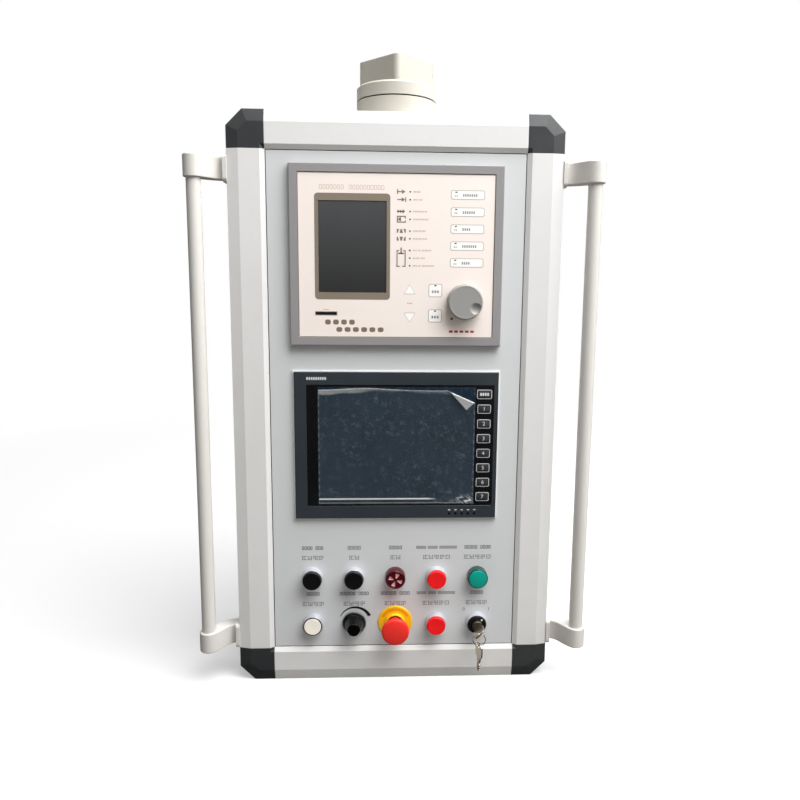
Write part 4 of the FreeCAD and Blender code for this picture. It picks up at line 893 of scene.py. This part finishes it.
keyX, (keyWidth, keyHeight) = px + b["keyReach"], b["keySize"]
keyLeft, k = keyX - keyWidth / 2, keyPlan
textX, codeX, barX = [keyLeft + k[label][0] for label in ("textAt", "codeAt", "barAt")]
for i, count in enumerate(b["keyWords"]):
    v = pz + b["keyTop"] - b["keyPitch"] * i
    printedKey(keyX, v, keyWidth, keyHeight)
    keyText += blockRow(textX, v + k["textAt"][1], (count,), *k["text"], textBack, textFront, True)
    keyCodes += blockRow(codeX, v + k["codeAt"][1], *k["code"], textBack, textFront, True)
    keyBars.append(pad(barX, v + keyHeight / 2 + k["barAt"][1], *k["bar"], textBack, textFront))
squareX, (squareWidth, squareHeight) = px + b["squareReach"], b["squareSize"]
for rise in b["squares"]:
    v = pz + rise
    printedKey(squareX, v, squareWidth, squareHeight)
    keyText += blockRow(squareX, v + k["squareTextDrop"], *k["squareText"], textBack, textFront)
    barZ = v + squareHeight / 2 + k["squareBarDrop"]
    keyBars.append(pad(squareX, barZ, *k["squareBar"], textBack, textFront))
arrowX = px + b["arrowReach"]
for rise, way in zip(b["arrows"], (1, -1)):
    v = pz + rise
    outer = eased(np.array(k["arrow"]) * [1, way], k["arrowEase"], 5)[:-1]
    inner = outer * k["arrowInside"]
    rings = [ringAt(outer, inkBack, arrowX, v), ringAt(outer, inkFront, arrowX, v),
             ringAt(inner, inkFront, arrowX, v), ringAt(inner, inkBack, arrowX, v)]
    keyFrames.append(loft(np.array(rings), True))
    keyShells.append(plate(inner, keyBack, keyFront, arrowX, v))

# the card slot, the rows of blocks under it and a painted shadow line round the film, where shade falls in
# the gap at its rim
slotX, slotZ = px + b["slotReach"], pz + b["slotDrop"]
(slotWidth, slotHeight), slotBand = b["slotSize"], b["slotBand"]
slotFrame = hoop(slotX, slotZ, slotWidth, slotHeight, 1.0, slotBand, inkBack, inkFront)
slotDark = pad(slotX, slotZ, slotWidth - 2 * slotBand, slotHeight - 2 * slotBand, 0.6, inkBack,
               inkFront - 0.1)
smallText = blockRow(arrowX, pz - 64.6, (4,), (1.4, 1.8), 0.5, 0, inkBack, inkFront)
smallText += blockRow(slotX, slotZ + 5.4, (5,), (1.2, 1.4), 0.5, 0, inkBack, inkFront)
nameZ, nameRows = pz + b["nameDrop"], []
for reach, drop, count, size in b["nameRows"]:
    nameRows += blockRow(px + reach, nameZ + drop, (count,), size, b["nameGap"], 0, inkBack, inkFront)
redRow = blockRow(px + b["redReach"], nameZ + b["redDrop"], (5,), (5.4, 3.2), 2.2, 0, inkBack, inkFront)
# a dark band round the film's rim: painted shadow of the gap between film and frame
paintedShadowLine = hoop(px, pz, frontHigh[0] - frontLow[0], frontHigh[2] - frontLow[2], 2.0, 0.8, inkBack, inkFront)
dialX, _, dialZ = middle("jog_dial")
dialDot = turned([(0.2, filmProud - 0.02), (1.9, filmProud - 0.02), (1.8, filmProud + 0.35),
                  (0.2, filmProud + 0.5)], dialX + b["dialDot"][0], dialZ + b["dialDot"][1], 32)
# the brown print piece also carries the painted shadow line round the film
for name, shells, finish, slot in (
        ("print", signs + nameRows + [paintedShadowLine], inkBrown, "programmer_grey"),
        ("faint_print", titles + labels + smallText, inkFaint, "programmer_grey"),
        ("red_print", redRow, inkRed, "button_red"),
        ("dots", dots + [slotDark] + keyBars, inkBlack, "display_dark"),
        ("keys", keyShells, keyWhite, "overlay_cream"),
        ("key_frames", keyFrames + [slotFrame] + keyCodes, inkGrey, "rim_grey"),
        ("key_print", keyText, inkMid, "programmer_grey"),
        ("dial_mark", [dialDot], goldDot, "key_nickel")):
    makePiece("programmer_" + name, shells, finish, "root")
print("programmer front made")


# jog dial
dialPlan = dict(radius=25.2, knurls=72, knurlDepth=0.35, foot=8.6, front=24.5, rimWidth=3.4, recess=0.15,
                dimpleRadius=7.8, dimpleDepth=3.2, dimplePlace=17.0, dimpleTurn=-31.0)


def dialShell(x, z):
    # knurled rim, flat face with a bowl: depth (1 - (d / R)^2)^0.8 at distance d from the bowl's middle
    b = dialPlan
    rimRadius, foot, front = b["radius"], b["foot"], b["front"]
    side = eased([(8.0, foot), (rimRadius - 0.8, foot), (rimRadius, foot + 1.0), (rimRadius, front - 2.6),
                  (rimRadius - 2.4, front)], [0, 0.4, 0.6, 2.2, 0], 7)
    r = np.linspace(rimRadius - 2.4, 0.3, 60)[1:]
    edge = rimRadius - b["rimWidth"]
    sink = b["recess"] * np.clip((edge - r) / 1.6, 0, 1)
    face = np.stack([r, front - sink], -1)
    turn = math.radians(b["dimpleTurn"])
    bowlX, bowlZ = b["dimplePlace"] * math.cos(turn), b["dimplePlace"] * math.sin(turn)

    def shape(radius, proud, angle):
        onRim = np.clip((radius - rimRadius + 0.7) / 0.5, 0, 1)
        radius = radius - b["knurlDepth"] * onRim * (0.5 + 0.5 * np.cos(b["knurls"] * angle))
        away = np.hypot(radius * np.cos(angle) - bowlX, radius * np.sin(angle) - bowlZ) / b["dimpleRadius"]
        onFace = (proud > front - 1.2) & (radius < rimRadius - 1.0)
        bowl = b["dimpleDepth"] * np.clip(1 - away ** 2, 0, 1) ** 0.8 * onFace
        return radius, proud - bowl

    return turned(np.concatenate([side, face]), x, z, 288, shape)


dialFinish = makeFinish("dialPlastic", tint(149, 148, 145), rough=0.42, tone=0.08, toneScale=30.0,
                        grain=1400.0, bump=0.2, wear=0.35, wearColour=tint(176, 176, 176))
makePiece("jog_dial_wheel", [dialShell(dialX, dialZ)], dialFinish, "dial", ["jog_dial"])
print("jog dial made")


# display window and screen glass
def displayFinish():
    # dark window with a painted sheen: paler towards its top and darker at its foot, as light falls on the
    # glass; colour mixes along height
    made = makeFinish("displayGlassPaintedSheen", tint(76, 78, 79), rough=0.16, roughSpread=0.05, tone=0.1,
                      toneScale=20.0, grain=2200.0, bump=0.02, coat=0.3)
    tree = made.node_tree
    shader = tree.nodes["Principled BSDF"]
    under = shader.inputs["Base Color"].links[0].from_socket
    place = node(tree, "ShaderNodeTexCoord").outputs["Object"]
    height = node(tree, "ShaderNodeSeparateXYZ", {0: place}).outputs["Z"]
    # painted sheen: the window's colour runs from dark at its foot to paler at its top
    share = ranged(tree, height, windowLow[2] * mm, windowHigh[2] * mm)
    tree.links.new(blended(tree, share, tint(50, 50, 50), under), shader.inputs["Base Color"])
    return made


def screenFinish():
    # near black blue with cloudy mottling; pale share = (0.3 specks + 0.3 scratches) * patches
    made = makeFinish("screenGlass", tint(27, 43, 57), rough=0.2, roughSpread=0.08, tone=0.75,
                      toneScale=26.0, grain=2400.0, bump=0.02, coat=0.2)
    tree = made.node_tree
    shader = tree.nodes["Principled BSDF"]
    under = shader.inputs["Base Color"].links[0].from_socket
    place = node(tree, "ShaderNodeTexCoord").outputs["Object"]
    cells = node(tree, "ShaderNodeTexVoronoi", {"Vector": place, "Scale": 190.0}).outputs["Distance"]
    specks = ranged(tree, cells, 0.14, 0.04)
    scratches = ranged(tree, noise(tree, place, 90.0, 8.0, 0.75), 0.52, 0.74)
    patches = ranged(tree, noise(tree, place, 14.0), 0.34, 0.56, 0.25, 1.0)
    both = sums(tree, "ADD", sums(tree, "MULTIPLY", specks, 0.3), sums(tree, "MULTIPLY", scratches, 0.3))
    share = sums(tree, "MULTIPLY", both, patches, True)
    tree.links.new(blended(tree, share, under, tint(120, 132, 144)), shader.inputs["Base Color"])
    return made


dress(displayFinish(), "programmer_display")
dress(screenFinish(), "terminal_screen")
print("glass made")


# terminal keys and lamps
insetLow, insetHigh = corners("terminal_overlay")
bezelLow, bezelHigh = corners("terminal_bezel")
terminalPlan = dict(keyInset=14.0, firstDrop=13.1, nextDrop=34.8, pitch=21.9, keys=7,
                    firstSize=(21.7, 13.4), keySize=(19.4, 13.2), band=1.0, keyProud=0.35, lampRise=6.8,
                    lampFirst=-62.4, lampPitch=9.3, lamps=5, iconRise=5.6, icon=(3.4, 1.4, 0.3),
                    nameReach=31.95, nameDrop=-9.4, nameBlock=((9,), (2.4, 4.2), 0.8, 0), digit=8.0,
                    firstBlock=((4,), (2.6, 4.4), 0.8, 0), capGap=1.6, capEase=0.25)
b = terminalPlan
insetFace, bezelFace = insetLow[1], bezelLow[1]
keyFace = insetFace - b["keyProud"]
keyX = insetHigh[0] - b["keyInset"]
keyLevels = [insetHigh[2] - b["firstDrop"]]
keyLevels += [insetHigh[2] - b["nextDrop"] - b["pitch"] * i for i in range(b["keys"])]
outlines, caps = [], []
for i, level in enumerate(keyLevels):
    width, height = b["firstSize"] if i == 0 else b["keySize"]
    caps.append(pad(keyX, level, width - b["capGap"], height - b["capGap"], 1.6, insetFace + 0.02, keyFace,
                    b["capEase"]))
    outlines.append(hoop(keyX, level, width, height, 2.2, b["band"], insetFace + 0.02, insetFace - 0.12))
keyBlack = makeFinish("keyBlack", tint(44, 45, 50), rough=0.4, tone=0.1, grain=1500.0)
lampDark = makeFinish("lampDark", tint(2, 2, 3), rough=0.6, grain=1500.0, specular=0.1)
makePiece("terminal_keys", caps, keyBlack, "root")
makePiece("terminal_key_frames", outlines, inkPale, "root")


def digitPiece(name, digits, levels, x, size, faceY):
    # plain numerals from the built-in font, turned to face the operator
    shells = []
    for digit, level in zip(digits, levels):
        curve = bpy.data.curves.new(name + digit, "FONT")
        curve.body = digit
        curve.size = size
        curve.align_x = "CENTER"
        curve.align_y = "CENTER"
        curve.extrude = 0.04
        holder = bpy.data.objects.new(name + digit, curve)
        bpy.context.scene.collection.objects.link(holder)
        bpy.context.view_layer.update()
        mesh = bpy.data.meshes.new_from_object(holder.evaluated_get(bpy.context.evaluated_depsgraph_get()))
        flat = np.empty(len(mesh.vertices) * 3, np.float32)
        mesh.vertices.foreach_get("co", flat)
        flat = flat.reshape(-1, 3)
        turnedUp = np.stack([flat[:, 0] + x, faceY - flat[:, 2], flat[:, 1] + level], -1)
        shells.append((turnedUp, [list(p.vertices) for p in mesh.polygons]))
        bpy.data.objects.remove(holder)
        bpy.data.meshes.remove(mesh)
    return showPiece(joined(name, shells, weld=1e-6), inkPale, "root")


digitPiece("terminal_key_digits", "1234567", keyLevels[1:], keyX, b["digit"], keyFace)
lampX = [insetHigh[0] + b["lampFirst"] + b["lampPitch"] * i for i in range(b["lamps"])]
lampZ = bezelLow[2] + b["lampRise"]
proud = panelFace - bezelFace
lampLine = [(0.2, proud - 0.02), (1.9, proud - 0.02), (1.8, proud + 0.1), (0.2, proud + 0.12)]
lamps = [turned(lampLine, v, lampZ, 24) for v in lampX]
markBack, markFront = bezelFace + 0.02, bezelFace - inkLift
marks = blockRow(keyX, keyLevels[0], *b["firstBlock"], keyFace + 0.02, keyFace - inkLift)
marks += [pad(v, lampZ + b["iconRise"], *b["icon"], markBack, markFront) for v in lampX]
marks += blockRow(bezelLow[0] + b["nameReach"], bezelHigh[2] + b["nameDrop"], *b["nameBlock"], markBack,
                  markFront)
makePiece("terminal_lamps", lamps, lampDark, "root")
makePiece("terminal_marks", marks, inkPale, "root")
print("terminal keys made")


# protective film on the terminal's screen
filmLow, filmHigh = corners("terminal_film")
filmPlan = dict(width=226.0, height=168.0, thick=0.12, columns=260, rows=190, clear=0.010,
                lift=0.3, wave=0.8, bulge=3.4, bulgePlace=0.3, creaseHeight=6.5, creaseLift=0.7,
                creaseEnd=0.76, crumplePlace=0.95, crumpleLift=1.5, fold=17.8, foldTurn=66.0, roll=1.5,
                # whiteness weights: edge band, crease and crumple are partly haze, partly painted highlight;
                # flap is whitening of the turned sheet; bend is a painted highlight along the roll
                milkAndGlint=dict(band=0.5, crease=0.7, crumple=0.5, flap=0.20, bend=1.5))


def nearness(value, middleValue, width):
    # bell curve: exp(-((value - middle) / width)^2)
    return np.exp(-((value - middleValue) / width) ** 2)


def filmPiece(finish):
    # sheet (u, v) with shallow waves; past the fold line a point rolls over: r sin(d/r), r (1 - cos(d/r))
    b = filmPlan
    u, v = np.meshgrid(np.linspace(0, 1, b["columns"]), np.linspace(0, 1, b["rows"]), indexing="ij")
    x = (u - 0.5) * b["width"]
    fromTop, fromFoot = (1 - v) * b["height"], v * b["height"]
    fromSide = np.minimum(u, 1 - u) * b["width"]
    fromEnd = np.minimum(fromTop, fromFoot)
    z = (v - 0.5) * b["height"] + b["bulge"] * nearness(u, b["bulgePlace"], 0.2) * np.exp(-fromTop / 14.0)
    nearEdge = np.exp(-np.minimum(fromSide, fromEnd) / 9.0)
    crease = nearness(fromFoot, b["creaseHeight"], 0.9) * np.clip((b["creaseEnd"] - u) / 0.06, 0, 1)
    crumple = nearness(u, b["crumplePlace"], 0.06) * nearness(fromFoot, 4.0, 6.0)
    folds = 0.5 + 0.5 * np.sin(150 * u + 70 * v + 3 * np.sin(47 * u + 90 * v))
    edgeWaves = (0.5 + 0.5 * np.sin(23 * u + 5 * v)) * (0.5 + 0.5 * np.cos(17 * v + 2))
    lift = b["lift"] + b["wave"] * nearEdge * edgeWaves
    lift += 0.10 * np.sin(9 * u + 3 * v) ** 2 + 0.06 * np.sin(31 * v - 7 * u) ** 2
    lift += b["creaseLift"] * crease + b["crumpleLift"] * crumple * folds

    # the corner folds over a line that is square to this direction
    turn = math.radians(b["foldTurn"])
    across = np.array([math.cos(turn), math.sin(turn)])
    corner = np.array([b["width"] / 2, b["height"] / 2])
    past = x * across[0] + z * across[1] - (corner @ across - b["fold"])
    r = b["roll"]
    bent = np.clip(past, 0, math.pi * r)
    beyond = np.clip(past - math.pi * r, 0, None)
    along = np.where(past > 0, r * np.sin(bent / r) - beyond, past)
    x = x + (along - past) * across[0]
    z = z + (along - past) * across[1]
    lift = np.where(past > 0, lift * 0.4 + r * (1 - np.cos(bent / r)) + 0.05 * beyond, lift)

    # how white the sheet looks: along its edges, at the crease and crumple, and on the flap; partly the
    # film's own haze, partly painted highlight on its edges, crease line, crumple peaks and the flap's roll
    m = b["milkAndGlint"]
    turnedOver = np.clip(past / (math.pi * r), 0, 1)
    bandFoot = 5.5 + 2.0 * np.sin(7 * u + 1) + 0.8 * np.sin(31 * u)
    topBand = np.clip((bandFoot - fromTop) / 2.5, 0, 1) * (0.10 + 0.22 * np.clip((0.42 - u) / 0.3, 0, 1))
    rim = 0.32 * np.clip((1.3 - fromEnd) / 0.8, 0, 1)
    side = 0.22 * np.clip((1.6 - fromSide) / 0.8, 0, 1) * (0.5 + 0.5 * np.sin(95 * v))
    # the crease and crumple terms paint highlights on the crease line and on the crumple's fold peaks
    milkAndGlint = m["band"] * (topBand + rim + side) + m["crease"] * crease + m["crumple"] * crumple * folds ** 3
    # the bend term paints a highlight along the middle of the flap's roll
    flap = m["flap"] * turnedOver + m["bend"] * turnedOver * (1 - turnedOver)
    milkAndGlint = np.where(past > 0, flap, milkAndGlint)

    cx, cz = (filmLow[0] + filmHigh[0]) / 2, (filmLow[2] + filmHigh[2]) / 2
    points = np.stack([x + cx, filmHigh[1] - lift, z + cz], -1).reshape(-1, 3) * mm
    rows, columns = b["columns"], b["rows"]
    start = np.arange(rows - 1)[:, None] * columns + np.arange(columns - 1)[None, :]
    quads = np.stack([start, start + columns, start + columns + 1, start + 1], -1).reshape(-1, 4)
    mesh = bpy.data.meshes.new("terminal_film_sheet")
    mesh.from_pydata(points.tolist(), [], quads.tolist())
    mesh.shade_smooth()
    marked(mesh, "milkAndGlint", np.clip(milkAndGlint, 0, 1))
    piece = showPiece(mesh, finish, "root", ["terminal_film"])
    wall = piece.modifiers.new("wall", "SOLIDIFY")
    wall.thickness = b["thick"] * mm
    wall.offset = 0
    return piece


def filmFinish():
    # alpha = clear + whiteness of the sheet (haze with painted highlight) + 0.04 * fine creases
    made = makeFinish("filmClear", tint(236, 238, 236), rough=0.22, roughSpread=0.08, tone=0.04,
                      grain=1200.0, bump=0.05)
    tree = made.node_tree
    milkAndGlint = node(tree, "ShaderNodeAttribute", attribute_name="milkAndGlint").outputs["Fac"]
    place = node(tree, "ShaderNodeTexCoord").outputs["Object"]
    crease = ranged(tree, noise(tree, place, 55.0, 6.0, 0.7), 0.60, 0.72)
    milkAndGlint = sums(tree, "ADD", milkAndGlint, sums(tree, "MULTIPLY", crease, 0.04))
    alpha = tree.nodes["Principled BSDF"].inputs["Alpha"]
    tree.links.new(sums(tree, "ADD", milkAndGlint, filmPlan["clear"], True), alpha)
    return made


film = filmPiece(filmFinish())
print("film made")


# floor, light and camera
stagePlan = dict(size=7.0, tone=tint(236, 236, 236), dimTone=tint(128, 126, 122),
                 glossTone=tint(34, 34, 34), fadeFrom=0.75, fadeTo=2.2, nearWhite=0.4)


def stageFloor():
    # plain floor; its colour runs out to white with distance, and it throws little light back up
    b = stagePlan
    mesh = bpy.data.meshes.new("floor")
    outline = np.array([(-1, -1, 0), (1, -1, 0), (1, 1, 0), (-1, 1, 0)]) * b["size"]
    mesh.from_pydata(outline.tolist(), [], [(0, 1, 2, 3)])
    made = bpy.data.materials.new("floorPaper")
    made.use_nodes = True
    tree = made.node_tree
    shader = tree.nodes["Principled BSDF"]
    path = node(tree, "ShaderNodeLightPath").outputs
    seen = path["Is Camera Ray"]
    cast = blended(tree, path["Is Glossy Ray"], b["dimTone"], b["glossTone"])
    tree.links.new(blended(tree, seen, cast, b["tone"]), shader.inputs["Base Color"])
    shader.inputs["Roughness"].default_value = 0.9
    shader.inputs["Specular IOR Level"].default_value = 0.1
    place = node(tree, "ShaderNodeTexCoord").outputs["Object"]
    away = node(tree, "ShaderNodeVectorMath", {0: place}, operation="LENGTH").outputs["Value"]
    share = sums(tree, "MULTIPLY", ranged(tree, away, b["fadeFrom"], b["fadeTo"], b["nearWhite"]), seen)
    glow = node(tree, "ShaderNodeEmission", {"Strength": 1.0}).outputs[0]
    both = node(tree, "ShaderNodeMixShader", {0: share, 1: shader.outputs[0], 2: glow}).outputs[0]
    tree.links.new(both, tree.nodes["Material Output"].inputs[0])
    mesh.materials.append(made)
    sheet = bpy.data.objects.new("floor", mesh)
    bpy.context.scene.collection.objects.link(sheet)


# each light is its place, the side of its square and its power in watts
lightPlan = dict(aim=(0.0, 0.0, 0.45), sky=0.2, boxes={"high": ((0.654, -0.934, 2.787), 1.9, 98.0),
                                                       "side": ((1.538, -0.717, 2.147), 2.2, 72.0),
                                                       "behind": ((0.3, 2.4, 1.8), 2.0, 30.0)})


def softBox(name, place, target, size, power):
    data = bpy.data.lights.new(name, "AREA")
    data.shape = "SQUARE"
    data.size = size
    data.energy = power
    lamp = bpy.data.objects.new(name, data)
    lamp.location = place
    lamp.rotation_euler = (Vector(target) - Vector(place)).to_track_quat("-Z", "Y").to_euler()
    bpy.context.scene.collection.objects.link(lamp)


def skyLight():
    # faint even sky; gloss reflects one that brightens upwards; white where it is seen past the floor
    world = bpy.data.worlds.new("studio")
    bpy.context.scene.world = world
    world.use_nodes = True
    tree = world.node_tree
    background = tree.nodes["Background"]
    path = node(tree, "ShaderNodeLightPath").outputs
    way = node(tree, "ShaderNodeSeparateXYZ", {0: node(tree, "ShaderNodeTexCoord").outputs["Generated"]})
    gloss = ranged(tree, way.outputs["Z"], 0.0, 0.7, 0.015, 0.8)
    cast = node(tree, "ShaderNodeMix", {0: path["Is Glossy Ray"], 2: lightPlan["sky"], 3: gloss}).outputs[0]
    strength = node(tree, "ShaderNodeMix", {0: path["Is Camera Ray"], 2: cast, 3: 1.0}).outputs[0]
    tree.links.new(strength, background.inputs["Strength"])
    background.inputs["Color"].default_value = (1, 1, 1, 1)


cameraPlan = dict(place=(-0.01813, -1.08377, 0.60984), turn=(81.546, -0.572, -2.578), lens=31.55,
                  shift=(-0.0193, -0.0257))


def placeCamera():
    b = cameraPlan
    data = bpy.data.cameras.new("view")
    data.lens = b["lens"]
    data.sensor_width = 36.0
    data.shift_x, data.shift_y = b["shift"]
    data.clip_start = 0.01
    eye = bpy.data.objects.new("view", data)
    eye.location = b["place"]
    eye.rotation_euler = [math.radians(v) for v in b["turn"]]
    bpy.context.scene.collection.objects.link(eye)
    bpy.context.scene.camera = eye


stageFloor()
skyLight()
for name, (place, size, power) in lightPlan["boxes"].items():
    softBox(name, place, lightPlan["aim"], size, power)
bpy.context.scene.view_settings.view_transform = "Standard"
placeCamera()
print("floor, light and camera placed")
